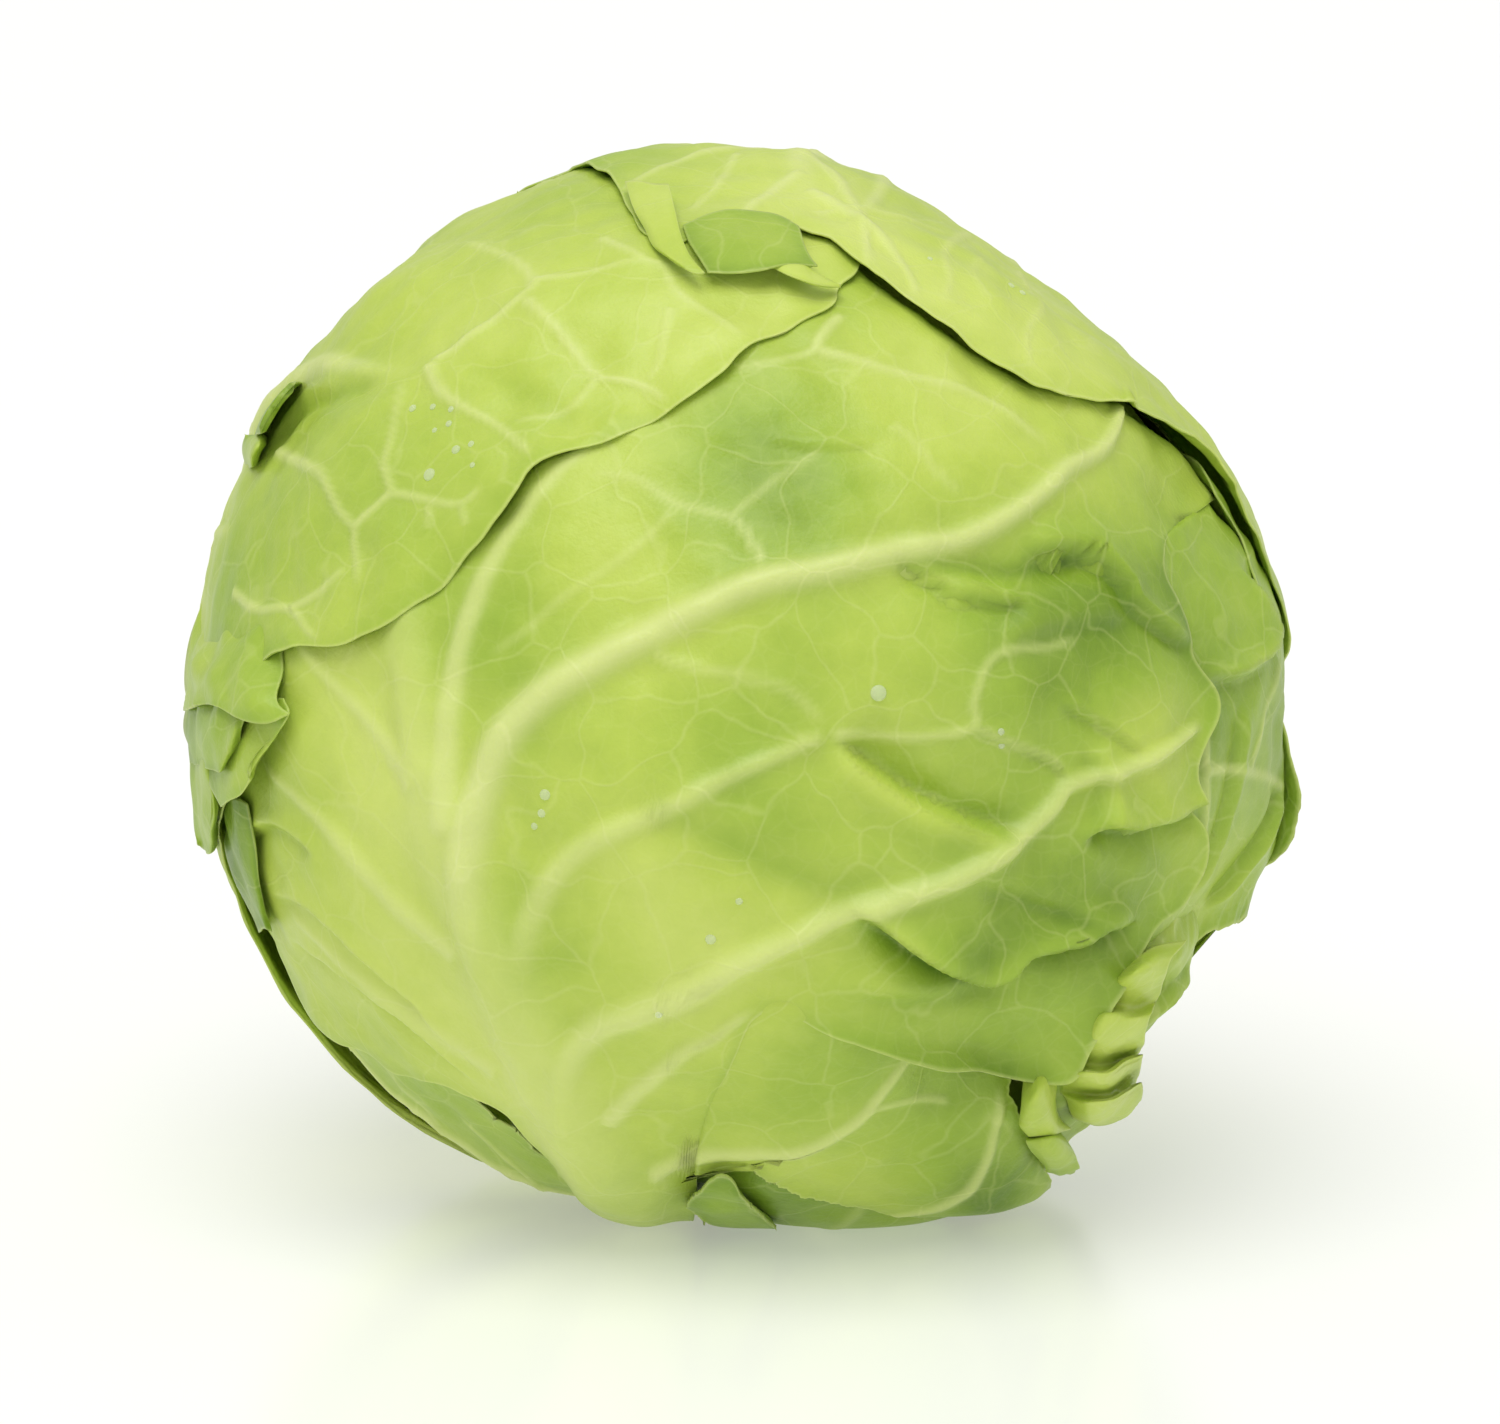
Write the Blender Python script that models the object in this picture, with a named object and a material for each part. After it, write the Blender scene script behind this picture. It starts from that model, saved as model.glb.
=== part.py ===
"""White cabbage head, trimmed and resting on its cut stalk.

The packed heart is a lumpy ellipsoid. Each wrapper leaf is a thin shell laid over it at its own layer,
with an outline drawn in degrees on a chart of the head: an azimuthal map whose centre is a heading on
the head, with p to the right and q upwards as seen from outside. The outermost leaves have the highest
layers. Every leaf narrows to a stem end beside the stalk, underneath the head.

Frame: +Z up, front towards -Y, origin on the surface the head rests on, at the centre of the cut stalk.
Lengths in this file are millimetres and are turned to metres when a mesh is made.
"""

import math

import bmesh
import bpy
import numpy as np

MM = 0.001

# Driving dimensions of the head.
HEAD_CENTRE = np.array([0.0, 0.0, 85.0])
HEAD_RADII = np.array([89.5, 88.0, 89.5])
FRONT_TILT = 12.0  # degrees above the horizon at the middle of the front chart

# Swellings and hollows of the head: place on the front chart, height, width in degrees.
HEAD_LUMPS = (
    ((54, 72), -8.5, 34),
    ((42, -82), 9.0, 22),
    ((76, -50), -9.0, 18),
    ((-90, 60), -1.5, 40),
)

# Wrapper leaves.
LEAF_THICKNESS = 1.0
LAYER_PITCH = 2.0
HEAD_LAYER = 4  # the layer whose outer face is the head's own form
LEAF_GRID = 15  # points along each side of a leaf's grid
LARGE_LEAF_GRID = 19
WRAPPING_LEAF_GRID = 21
SMALL_LEAF_GRID = 9
SPLINE_STEPS = 12  # points on each outline span
SETTLE = 2.5  # how softly a surface flattens where the head rests

# Packed heart and cut stalk.
HEART_DEPTH = 9.8
HEART_FLOOR = 11.0
HEART_SUBDIVISIONS = 4
STALK_RADIUS = 16.5
STALK_WAIST = 15.5
STALK_HEIGHT = 10.4
STALK_BEVEL = 0.8
STALK_SIDES = 36

# Charts: heading to the right of the front and tilt above the horizon, in degrees.
FRONT = (0, FRONT_TILT)
LEFT = (-95, 10)
CROWN = (160, 35)
RIGHT = (80, 0)
RIGHT_REAR = (110, 0)
REAR_LEFT = (-145, -15)
LOW_LEFT = (-70, -20)
LOW_RIGHT = (45, -30)
UNDER_FRONT = (15, -45)

# Each leaf: chart, layer, hub, outline, swellings of its own (place, height, width).
LEAVES = {
    "top_leaf": dict(
        chart=CROWN, layer=6, floor=0.2, hub=(-6, 0), colour="#C9DE8F", grid=WRAPPING_LEAF_GRID,
        outline=((17, 54), (10, 69), (4, 78), (-3, 84), (-10, 80), (-21, 72), (-38, 70), (-49, 65),
                 (-57, 56), (-60, 44), (-61, 30), (-64, 12), (-66, -4), (-58, -34), (-38, -72), (-22, -94),
                 (-12, -110), (2, -112), (16, -96), (34, -66), (48, -36), (54, -6), (48, 20), (32, 40)),
    ),
    "left_leaf": dict(
        chart=LEFT, layer=5, floor=1.8, hub=(2, 18), colour="#B6CE61", grid=LARGE_LEAF_GRID,
        outline=((44, 86), (53, 74), (60, 58), (60, 44), (57, 26), (52, 12), (44, 5), (39, -3), (33, -12),
                 (25, -18), (18, -28), (14, -42), (11, -60), (7, -83), (-8, -85), (-20, -66), (-34, -44),
                 (-54, -20), (-64, 10), (-58, 42), (-42, 68), (-16, 88), (14, 96), (34, 93)),
    ),
    "right_rear_leaf": dict(
        chart=RIGHT_REAR, layer=5, floor=2.8, hub=(6, -8), colour="#7E9641",
        outline=((-16, 34), (-23, 28), (-26, 19), (-24, 8), (-22, -8), (-19, -26), (-12, -50), (-5, -72),
                 (2, -77), (12, -74), (26, -56), (38, -32), (42, -4), (36, 22), (18, 38), (0, 42)),
    ),
    "front_leaf": dict(
        chart=FRONT, layer=4, floor=1.8, hub=(-10, -2), colour="#C5D771", grid=LARGE_LEAF_GRID,
        outline=((44, 50), (58, 44), (68, 34), (66, 22), (56, 15), (54, 5), (56.5, -4), (55, -13), (57.5, -21),
                 (51, -29), (44, -37), (39.5, -46), (27, -43.5), (14, -40), (6, -42), (2, -50),
                 (-1, -60), (-4, -73), (-8, -85), (-17, -87), (-22, -76), (-28, -63), (-36, -54), (-48, -53),
                 (-60, -50), (-67, -41), (-66, -28), (-65, -12), (-60, 10), (-46, 30), (-26, 46), (0, 58),
                 (26, 57)),
    ),
    "rear_left_leaf": dict(
        chart=REAR_LEFT, layer=4, floor=5.0, hub=(0, -5), colour="#9EB55B",
        outline=((-38, 10), (-42, -10), (-36, -32), (-20, -50), (-10, -60), (-1, -59), (5, -48), (17, -32),
                 (36, -8), (34, 14), (20, 30), (-4, 34), (-26, 26)),
    ),
    "right_leaf": dict(
        chart=RIGHT, layer=3, floor=5.0, hub=(4, 6), colour="#B4C87A",
        outline=((-37, 28), (-20, 37), (0, 36), (17, 28), (24, 10), (25, -10), (24, -34), (22, -56), (18, -71),
                 (8, -71), (4, -56), (0, -42), (-3, -31), (-8, -24.5), (-17, -23.5), (-29, -22), (-38, -12),
                 (-41, 8)),
        swell=(((0, -17), 4.0, 12),),
    ),
    "left_under_leaf": dict(
        chart=LOW_LEFT, layer=3, floor=4.0, hub=(13, -14), colour="#A4B260",
        outline=((-12, 10), (-9, -2), (-7, -12), (-2, -24), (4, -38), (6, -54), (12, -61), (16, -56),
                 (20, -44), (23, -28), (23, -10), (19, 8), (10, 17), (-5, 18)),
    ),
    "lower_leaf": dict(
        chart=FRONT, layer=2, floor=4.4, hub=(16, -55), colour="#879F40",
        outline=((30, -34), (33, -42), (33.5, -50), (35.5, -57), (40, -66), (44, -74), (41, -78), (31, -77),
                 (20, -72), (9, -67), (0, -63), (-4, -61), (-5, -54), (-3, -44), (1, -34),
                 (8, -27), (18, -26)),
        swell=(((34, -74), 6.0, 15),),
    ),
    "lower_right_leaf": dict(
        chart=LOW_RIGHT, layer=2, floor=6.4, hub=(4, 8), colour="#96AF5C",
        outline=((-6, 2), (-3, -4), (1, -10), (5, -17), (9, -25), (12, -33), (16, -39), (21, -36), (23, -25),
                 (25, -12), (26, 8), (20, 22), (6, 26), (-6, 20), (-9, 10)),
    ),
    "bottom_leaf": dict(
        chart=UNDER_FRONT, layer=1, floor=0.6, hub=(4, -14), colour="#687B32",
        outline=((-8, -6), (-6, -14), (-1, -22), (2, -31), (7, -33), (13, -30), (18, -21), (17, -8), (8, 0), (-4, 1)),
        swell=(((10, -27), 6.0, 8),),
    ),
    "petiole_stub": dict(
        chart=FRONT, layer=3, floor=0.6, hub=(0, -74), colour="#889346", grid=SMALL_LEAF_GRID, thickness=1.6,
        outline=((-4.5, -68), (-2, -65.5), (1, -69), (3.5, -73), (5, -79), (3.5, -83), (-1, -83), (-4.5, -76)),
    ),
}

HEART_COLOUR = "#C4CE77"
STALK_COLOUR = "#D9DDB0"
LEAF_ROUGHNESS = 0.45
STALK_ROUGHNESS = 0.7


def chart_axes(chart):
    """Heading at the chart's centre, and its right and up directions, as unit vectors."""
    yaw, tilt = (math.radians(angle) for angle in chart)
    centre = np.array([math.sin(yaw) * math.cos(tilt), -math.cos(yaw) * math.cos(tilt), math.sin(tilt)])
    right = np.array([math.cos(yaw), math.sin(yaw), 0.0])
    return centre, right, np.cross(centre, right)


def chart_heading(chart, p, q):
    """Unit headings of the chart's points: turned from its centre by the length of (p, q)."""
    centre, right, up = chart_axes(chart)
    p, q = np.broadcast_arrays(np.asarray(p, float), np.asarray(q, float))
    turn = np.hypot(p, q)
    reach = np.sin(np.radians(turn)) / np.maximum(turn, 1e-9)
    return (np.cos(np.radians(turn))[..., None] * centre
            + (reach * p)[..., None] * right + (reach * q)[..., None] * up)


def lump_heights(headings, chart, lumps):
    """Sum of the lumps: each falls off as a bell with the angle from its own heading."""
    total = np.zeros(headings.shape[:-1])
    for place, height, width in lumps:
        cosine = np.clip(headings @ chart_heading(chart, *place), -1.0, 1.0)
        total += height * np.exp(-(np.degrees(np.arccos(cosine)) / width) ** 2)
    return total


def head_radius(headings):
    """Distance from the head's centre to its form: an ellipsoid with the head's lumps."""
    ellipsoid = 1.0 / np.sqrt(((headings / HEAD_RADII) ** 2).sum(axis=-1))
    return ellipsoid + lump_heights(headings, FRONT, HEAD_LUMPS)


def settled(points, floor):
    """The points with their heights eased on to the floor, so none of them is below it."""
    result = points.copy()
    result[..., 2] = floor + SETTLE * np.logaddexp(0.0, (points[..., 2] - floor) / SETTLE)
    return result


def outline_radii(outline, hub):
    """Angles about the hub and distances from it, along a closed spline through the outline."""
    corners = np.asarray(outline, float) - hub
    t = np.linspace(0.0, 1.0, SPLINE_STEPS, endpoint=False)[:, None]
    spans = []
    for i in range(len(corners)):
        a, b, c, d = (corners[(i + k) % len(corners)] for k in (-1, 0, 1, 2))
        spans.append(b + 0.5 * t * (c - a + t * (2 * a - 5 * b + 4 * c - d + t * (3 * (b - c) + d - a))))
    curve = np.concatenate(spans)
    angles = np.arctan2(curve[:, 1], curve[:, 0])
    order = np.argsort(angles)
    return angles[order], np.hypot(curve[:, 0], curve[:, 1])[order]


def disc_grid(count):
    """A square grid pressed into the unit disc, as distances from the middle and angles."""
    u, v = np.meshgrid(np.linspace(-1, 1, count), np.linspace(-1, 1, count), indexing="ij")
    x, y = u * np.sqrt(1 - v * v / 2), v * np.sqrt(1 - u * u / 2)
    return np.hypot(x, y), np.arctan2(y, x)


def leaf_points(chart, layer, floor, hub, outline, swell, count):
    """Outer face of a leaf: its outline's disc laid over the head at the leaf's layer."""
    distance, angle = disc_grid(count)
    angles, radii = outline_radii(outline, hub)
    reach = distance * np.interp(angle, angles, radii, period=2 * math.pi)
    headings = chart_heading(chart, hub[0] + reach * np.cos(angle), hub[1] + reach * np.sin(angle))
    depth = (layer - HEAD_LAYER) * LAYER_PITCH
    height = head_radius(headings) + depth + lump_heights(headings, chart, swell)
    return settled(HEAD_CENTRE + headings * height[..., None], floor)


def material(name, colour, roughness):
    """A Principled material from an sRGB hex colour."""
    mat = bpy.data.materials.new(name)
    mat.use_nodes = True
    channels = [int(colour[i:i + 2], 16) / 255 for i in (1, 3, 5)]
    linear = [c / 12.92 if c <= 0.04045 else ((c + 0.055) / 1.055) ** 2.4 for c in channels]
    shader = mat.node_tree.nodes["Principled BSDF"]
    shader.inputs["Base Color"].default_value = (*linear, 1.0)
    shader.inputs["Roughness"].default_value = roughness
    shader.inputs["Metallic"].default_value = 0.0
    return mat


def add_object(name, mesh, mat):
    """A smooth-shaded object that holds the mesh and its material."""
    mesh.materials.append(mat)
    mesh.shade_smooth()
    obj = bpy.data.objects.new(name, mesh)
    bpy.context.scene.collection.objects.link(obj)
    return obj


def make_leaf(name, chart, layer, floor, hub, outline, colour, swell=(), grid=LEAF_GRID, thickness=LEAF_THICKNESS):
    """A wrapper leaf: its outer face as a grid, thickened inwards."""
    points = leaf_points(chart, layer, floor, hub, outline, swell, grid) * MM
    index = np.arange(grid * grid).reshape(grid, grid)
    faces = np.stack([index[:-1, :-1], index[1:, :-1], index[1:, 1:], index[:-1, 1:]], axis=-1)
    mesh = bpy.data.meshes.new(name)
    mesh.from_pydata(points.reshape(-1, 3).tolist(), [], faces.reshape(-1, 4).tolist())
    leaf = add_object(name, mesh, material(name + "_leaf", colour, LEAF_ROUGHNESS))
    solidify = leaf.modifiers.new("thickness", "SOLIDIFY")
    solidify.thickness = thickness * MM
    solidify.offset = -1.0
    return leaf


def make_heart():
    """The tightly packed inner leaves as one solid: the head's form, sunk under the wrapper leaves."""
    bm = bmesh.new()
    bmesh.ops.create_icosphere(bm, subdivisions=HEART_SUBDIVISIONS, radius=1.0)
    headings = np.array([vert.co.normalized() for vert in bm.verts])
    radii = head_radius(headings) - HEART_DEPTH
    points = settled(HEAD_CENTRE + headings * radii[:, None], HEART_FLOOR) * MM
    for vert, point in zip(bm.verts, points):
        vert.co = point
    mesh = bpy.data.meshes.new("heart")
    bm.to_mesh(mesh)
    bm.free()
    return add_object("heart", mesh, material("heart_leaves", HEART_COLOUR, LEAF_ROUGHNESS))


def make_stalk():
    """The cut stalk: a short turned plug with a flat cut face, which the head rests on."""
    bm = bmesh.new()
    bmesh.ops.create_cone(bm, cap_ends=True, cap_tris=False, segments=STALK_SIDES, radius1=STALK_RADIUS * MM,
                          radius2=STALK_WAIST * MM, depth=STALK_HEIGHT * MM)
    bmesh.ops.translate(bm, verts=bm.verts, vec=(0.0, 0.0, STALK_HEIGHT / 2 * MM))
    cut_edge = [edge for edge in bm.edges if all(vert.co.z < MM * STALK_BEVEL for vert in edge.verts)]
    bmesh.ops.bevel(bm, geom=cut_edge, offset=STALK_BEVEL * MM, segments=2, profile=0.5, affect="EDGES")
    mesh = bpy.data.meshes.new("stalk")
    bm.to_mesh(mesh)
    bm.free()
    stalk = add_object("stalk", mesh, material("cut_stalk", STALK_COLOUR, STALK_ROUGHNESS))
    mesh.set_sharp_from_angle(angle=math.radians(40))
    return stalk


def main():
    """Clear the scene and build the heart, the stalk and the wrapper leaves."""
    for obj in list(bpy.data.objects):
        bpy.data.objects.remove(obj, do_unlink=True)
    make_heart()
    make_stalk()
    for name, leaf in LEAVES.items():
        make_leaf(name, **leaf)


main()
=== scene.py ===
"""White cabbage head: the looks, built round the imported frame.

Every wrapper leaf is a thin shell laid over the head's lumpy form. A leaf is drawn on a chart of the head: an
azimuthal map in degrees about a heading, with p to the right and q upwards as seen from outside. Its ribs,
folds and lobes are curves on that chart. Lengths are in millimetres until a mesh is made, in metres.
"""

import logging
import math
from dataclasses import dataclass, field
from enum import Enum

import bpy
import numpy as np
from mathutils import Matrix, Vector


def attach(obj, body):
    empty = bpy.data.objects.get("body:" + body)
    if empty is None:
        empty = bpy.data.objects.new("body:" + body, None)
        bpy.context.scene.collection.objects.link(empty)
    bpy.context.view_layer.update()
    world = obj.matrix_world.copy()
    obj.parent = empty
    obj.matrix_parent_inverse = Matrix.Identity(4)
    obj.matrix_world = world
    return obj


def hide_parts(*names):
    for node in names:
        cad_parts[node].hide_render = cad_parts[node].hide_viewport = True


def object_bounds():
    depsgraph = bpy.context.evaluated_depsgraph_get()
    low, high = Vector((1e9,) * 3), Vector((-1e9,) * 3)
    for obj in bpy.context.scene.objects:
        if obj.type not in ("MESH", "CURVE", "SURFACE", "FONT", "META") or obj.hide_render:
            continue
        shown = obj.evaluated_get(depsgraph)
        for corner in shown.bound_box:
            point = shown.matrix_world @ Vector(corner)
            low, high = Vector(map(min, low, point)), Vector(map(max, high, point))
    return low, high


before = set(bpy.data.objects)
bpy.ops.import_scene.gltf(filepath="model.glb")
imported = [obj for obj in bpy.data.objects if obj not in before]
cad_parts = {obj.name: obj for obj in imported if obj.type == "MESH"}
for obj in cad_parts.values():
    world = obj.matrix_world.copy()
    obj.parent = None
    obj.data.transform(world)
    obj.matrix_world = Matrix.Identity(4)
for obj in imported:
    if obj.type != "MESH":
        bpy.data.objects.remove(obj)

log = logging.getLogger("cabbage")
Pair = tuple[float, float]
Array = np.ndarray

MM = 0.001
DEGREE = 1.56  # millimetres along the head's skin for one degree of a chart
BODY = "root"
ANGLES = 1440  # directions from a leaf's hub in which its margin is noted
FAR = 1e3  # stands for a distance that was not worked out
FRAME_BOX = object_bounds()


class Slot(Enum):
    """The record's material slots."""

    LEAF = "wrapper_leaf"
    HEART = "heart_leaves"
    STALK = "cut_stalk"


# ---------------------------------------------------------------- numbers and curves


def smooth(value: Array, low: float, high: float) -> Array:
    """Smoothstep: 0 below low, 1 above high, with a level start and end.

    Args:
        value: the numbers to ease.
        low: where the rise starts.
        high: where it ends; below low it falls instead.

    Returns:
        The eased shares from 0 to 1.
    """
    share = np.clip((value - low) / (high - low), 0.0, 1.0)
    return share * share * (3.0 - 2.0 * share)


def spline(points: Array, closed: bool, steps: int) -> Array:
    """Catmull-Rom curve through points: each span is the cubic whose ends lean on the points next to it.

    Args:
        points: the corners, one a row.
        closed: whether the last point joins the first.
        steps: points on each span.

    Returns:
        The curve's points, one a row.
    """
    points = np.asarray(points, float)
    if closed:
        padded = np.concatenate([points[-1:], points, points[:2]])
    else:
        first, last = 2 * points[0] - points[1], 2 * points[-1] - points[-2]
        padded = np.concatenate([first[None], points, last[None]])
    a, b, c, d = (padded[i:len(padded) - 3 + i][:, None] for i in range(4))
    t = np.linspace(0.0, 1.0, steps, endpoint=False)[None, :, None]
    curve = b + 0.5 * t * (c - a + t * (2 * a - 5 * b + 4 * c - d + t * (3 * (b - c) + d - a)))
    curve = curve.reshape(-1, points.shape[1])
    return curve if closed else np.concatenate([curve, points[-1:]])


def ripple(headings: Array, wavelength: float, seed: int, waves: int = 24) -> Array:
    """Smooth noise on the head: a sum of plane waves with seeded directions and phases.

    Args:
        headings: unit headings.
        wavelength: the usual distance between crests, in millimetres.
        seed: picks the waves.
        waves: how many are summed.

    Returns:
        Noise with a spread of about 1.
    """
    random = np.random.default_rng(seed)
    direction = random.normal(size=(waves, 3))
    direction /= np.linalg.norm(direction, axis=1, keepdims=True)
    number = 360.0 * DEGREE / wavelength * random.uniform(0.7, 1.3, waves)
    phase = random.uniform(0.0, 2.0 * math.pi, waves)
    total = np.zeros(headings.shape[:-1])
    for axis, count, start in zip(direction, number, phase):
        total += np.cos(headings @ axis * count + start)
    return total * math.sqrt(2.0 / waves)


def nearest(p: Array, q: Array, path: Array, limit: float) -> tuple[Array, Array, Array]:
    """Distance of chart points to a polyline, each segment's nearest point in turn.

    Args:
        p: chart coordinates to the right.
        q: chart coordinates upwards.
        path: the polyline's points.
        limit: points further than this from the polyline's box are left out.

    Returns:
        Distance in degrees, the share of the length that the nearest point is at, and the side, 1 on the left
        of the path and -1 on its right. Points left out have a huge distance.
    """
    shape = p.shape
    p, q = p.ravel(), q.ravel()
    low, high = path.min(axis=0) - limit, path.max(axis=0) + limit
    chosen = np.nonzero((p > low[0]) & (p < high[0]) & (q > low[1]) & (q < high[1]))[0]
    x, y = p[chosen], q[chosen]
    best, along, side = np.full(len(x), FAR), np.zeros(len(x)), np.ones(len(x))
    step = np.diff(path, axis=0)
    length = np.hypot(step[:, 0], step[:, 1])
    before = np.concatenate([[0.0], np.cumsum(length)])
    for start, move, size, so_far in zip(path[:-1], step, length, before):
        dx, dy = x - start[0], y - start[1]
        share = np.clip((dx * move[0] + dy * move[1]) / size ** 2, 0.0, 1.0)
        distance = np.hypot(dx - share * move[0], dy - share * move[1])
        closer = distance < best
        best[closer] = distance[closer]
        along[closer] = (so_far + share[closer] * size) / before[-1]
        side[closer] = np.where(move[0] * dy[closer] - move[1] * dx[closer] >= 0.0, 1.0, -1.0)
    result = [np.full(len(p), FAR), np.zeros(len(p)), np.ones(len(p))]
    for whole, part in zip(result, (best, along, side)):
        whole[chosen] = part
    return tuple(whole.reshape(shape) for whole in result)


# ---------------------------------------------------------------- the head's form


@dataclass(frozen=True)
class Chart:
    """A map of the head in degrees, centred on a heading: yaw to the right of the front, tilt above level."""

    yaw: float
    tilt: float

    def axes(self) -> Array:
        """Three directions of the chart.

        Returns:
            Rows: the centre's heading, the direction to its right and the direction up.
        """
        yaw, tilt = math.radians(self.yaw), math.radians(self.tilt)
        centre = np.array([math.sin(yaw) * math.cos(tilt), -math.cos(yaw) * math.cos(tilt), math.sin(tilt)])
        right = np.array([math.cos(yaw), math.sin(yaw), 0.0])
        return np.stack([centre, right, np.cross(centre, right)])

    def headings(self, p: Array, q: Array) -> Array:
        """Unit headings of chart points: the centre turned by the length of (p, q), towards (p, q).

        Args:
            p: degrees to the right.
            q: degrees upwards.

        Returns:
            One heading for each point.
        """
        p, q = np.broadcast_arrays(np.asarray(p, float), np.asarray(q, float))
        turn = np.hypot(p, q)
        reach = np.sin(np.radians(turn)) / np.maximum(turn, 1e-9)
        return np.stack([np.cos(np.radians(turn)), reach * p, reach * q], axis=-1) @ self.axes()

    def locate(self, headings: Array) -> tuple[Array, Array]:
        """Chart coordinates of headings: the angle from the centre, shared out by its direction.

        Args:
            headings: unit headings.

        Returns:
            Degrees to the right, and degrees upwards.
        """
        local = headings @ self.axes().T
        across = np.maximum(np.hypot(local[..., 1], local[..., 2]), 1e-9)
        turn = np.degrees(np.arctan2(across, local[..., 0]))
        return turn * local[..., 1] / across, turn * local[..., 2] / across


FRONT = Chart(0, 12)
LEFT = Chart(-95, 10)
CROWN = Chart(160, 35)
RIGHT = Chart(80, 0)
RIGHT_REAR = Chart(110, 0)
REAR_LEFT = Chart(-145, -15)
LOW_LEFT = Chart(-70, -20)
LOW_RIGHT = Chart(45, -30)
UNDER_FRONT = Chart(15, -45)


@dataclass(frozen=True)
class Lump:
    """A bell-shaped swelling or hollow: its place on a chart, its height and its width in degrees."""

    place: Pair
    height: float
    width: float

    def on(self, p: Array, q: Array) -> Array:
        """Its height at chart points: falls off as exp(-(distance / width) squared)."""
        return self.height * np.exp(-((p - self.place[0]) ** 2 + (q - self.place[1]) ** 2) / self.width ** 2)


@dataclass(frozen=True)
class HeadForm:
    """The head's own form: an ellipsoid with lumps, sized from the frame's box."""

    centre_share: float = 0.482  # of the box's height
    width_share: float = 0.492  # of the box's width, as a radius
    depth_share: float = 0.490
    height_share: float = 0.5077
    lumps: tuple[Lump, ...] = (Lump((54, 72), -8.5, 34), Lump((42, -82), 9.0, 22),
                               Lump((76, -50), -9.0, 18), Lump((-90, 60), -1.5, 40))
    settle: float = 2.5  # how softly a surface flattens on to its floor

    def centre(self) -> Array:
        """The middle of the head, above the frame's origin."""
        return np.array([0.0, 0.0, FRAME_BOX[1].z / MM * self.centre_share])

    def radius(self, headings: Array) -> Array:
        """Distance to the form along headings: the ellipsoid's, with each lump added by its angle.

        Args:
            headings: unit headings.

        Returns:
            Millimetres from the centre.
        """
        size = (FRAME_BOX[1] - FRAME_BOX[0]) / MM
        radii = np.array([size.x * self.width_share, size.y * self.depth_share, size.z * self.height_share])
        total = 1.0 / np.sqrt(((headings / radii) ** 2).sum(axis=-1))
        for lump in self.lumps:
            cosine = np.clip(headings @ FRONT.headings(*lump.place), -1.0, 1.0)
            total += lump.height * np.exp(-(np.degrees(np.arccos(cosine)) / lump.width) ** 2)
        return total

    def place(self, headings: Array, radius: Array, floor: float) -> Array:
        """Points along headings, their heights eased on to a floor by a softened maximum.

        Args:
            headings: unit headings.
            radius: millimetres along them.
            floor: the height that no point goes below.

        Returns:
            The points, in millimetres.
        """
        points = self.centre() + headings * radius[..., None]
        points[..., 2] = floor + self.settle * np.logaddexp(0.0, (points[..., 2] - floor) / self.settle)
        return points


HEAD = HeadForm()


# ---------------------------------------------------------------- what is drawn on a leaf


@dataclass(frozen=True)
class Rib:
    """A vein that stands out: a path on the chart, half-widths and heights at its start and end."""

    path: tuple[Pair, ...]
    width: Pair = (2.0, 1.0)
    height: Pair = (0.8, 0.3)
    pale: float = 1.0
    halo: float = 0.11
    fade: Pair = (0.03, 0.12)  # shares of the length over which the ends fade

    def curve(self) -> Array:
        """The path as a smooth curve."""
        return spline(self.path, closed=False, steps=8)

    def on(self, p: Array, q: Array) -> tuple[Array, Array]:
        """Height and paleness at chart points.

        The height is a rounded ridge, exp(-(distance / half-width) to the power 2.4). The paleness is a core
        that is a little wider, and a faint halo.

        Args:
            p: degrees to the right.
            q: degrees upwards.

        Returns:
            Millimetres of height, and paleness from 0 to 1.
        """
        reach = (3.0 * max(self.width) + 12.0) / DEGREE
        distance, along, _ = nearest(p, q, self.curve(), reach)
        distance = distance * DEGREE
        width = self.width[0] + (self.width[1] - self.width[0]) * along
        height = self.height[0] + (self.height[1] - self.height[0]) * along
        share = distance / width
        core = distance / np.maximum(1.05 * width, 0.85)
        pale = np.clip(0.45 + 0.42 * width, 0.0, 1.0) * np.exp(-core ** 3.2)
        pale = pale + self.halo * np.exp(-(distance / (width + 4.0)) ** 2)
        ends = smooth(along, 0.0, self.fade[0]) * smooth(along, 1.0, 1.0 - self.fade[1])
        return height * ends * np.exp(-share ** 2.4), self.pale * pale * ends * (1.0 - 0.25 * along)


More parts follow.
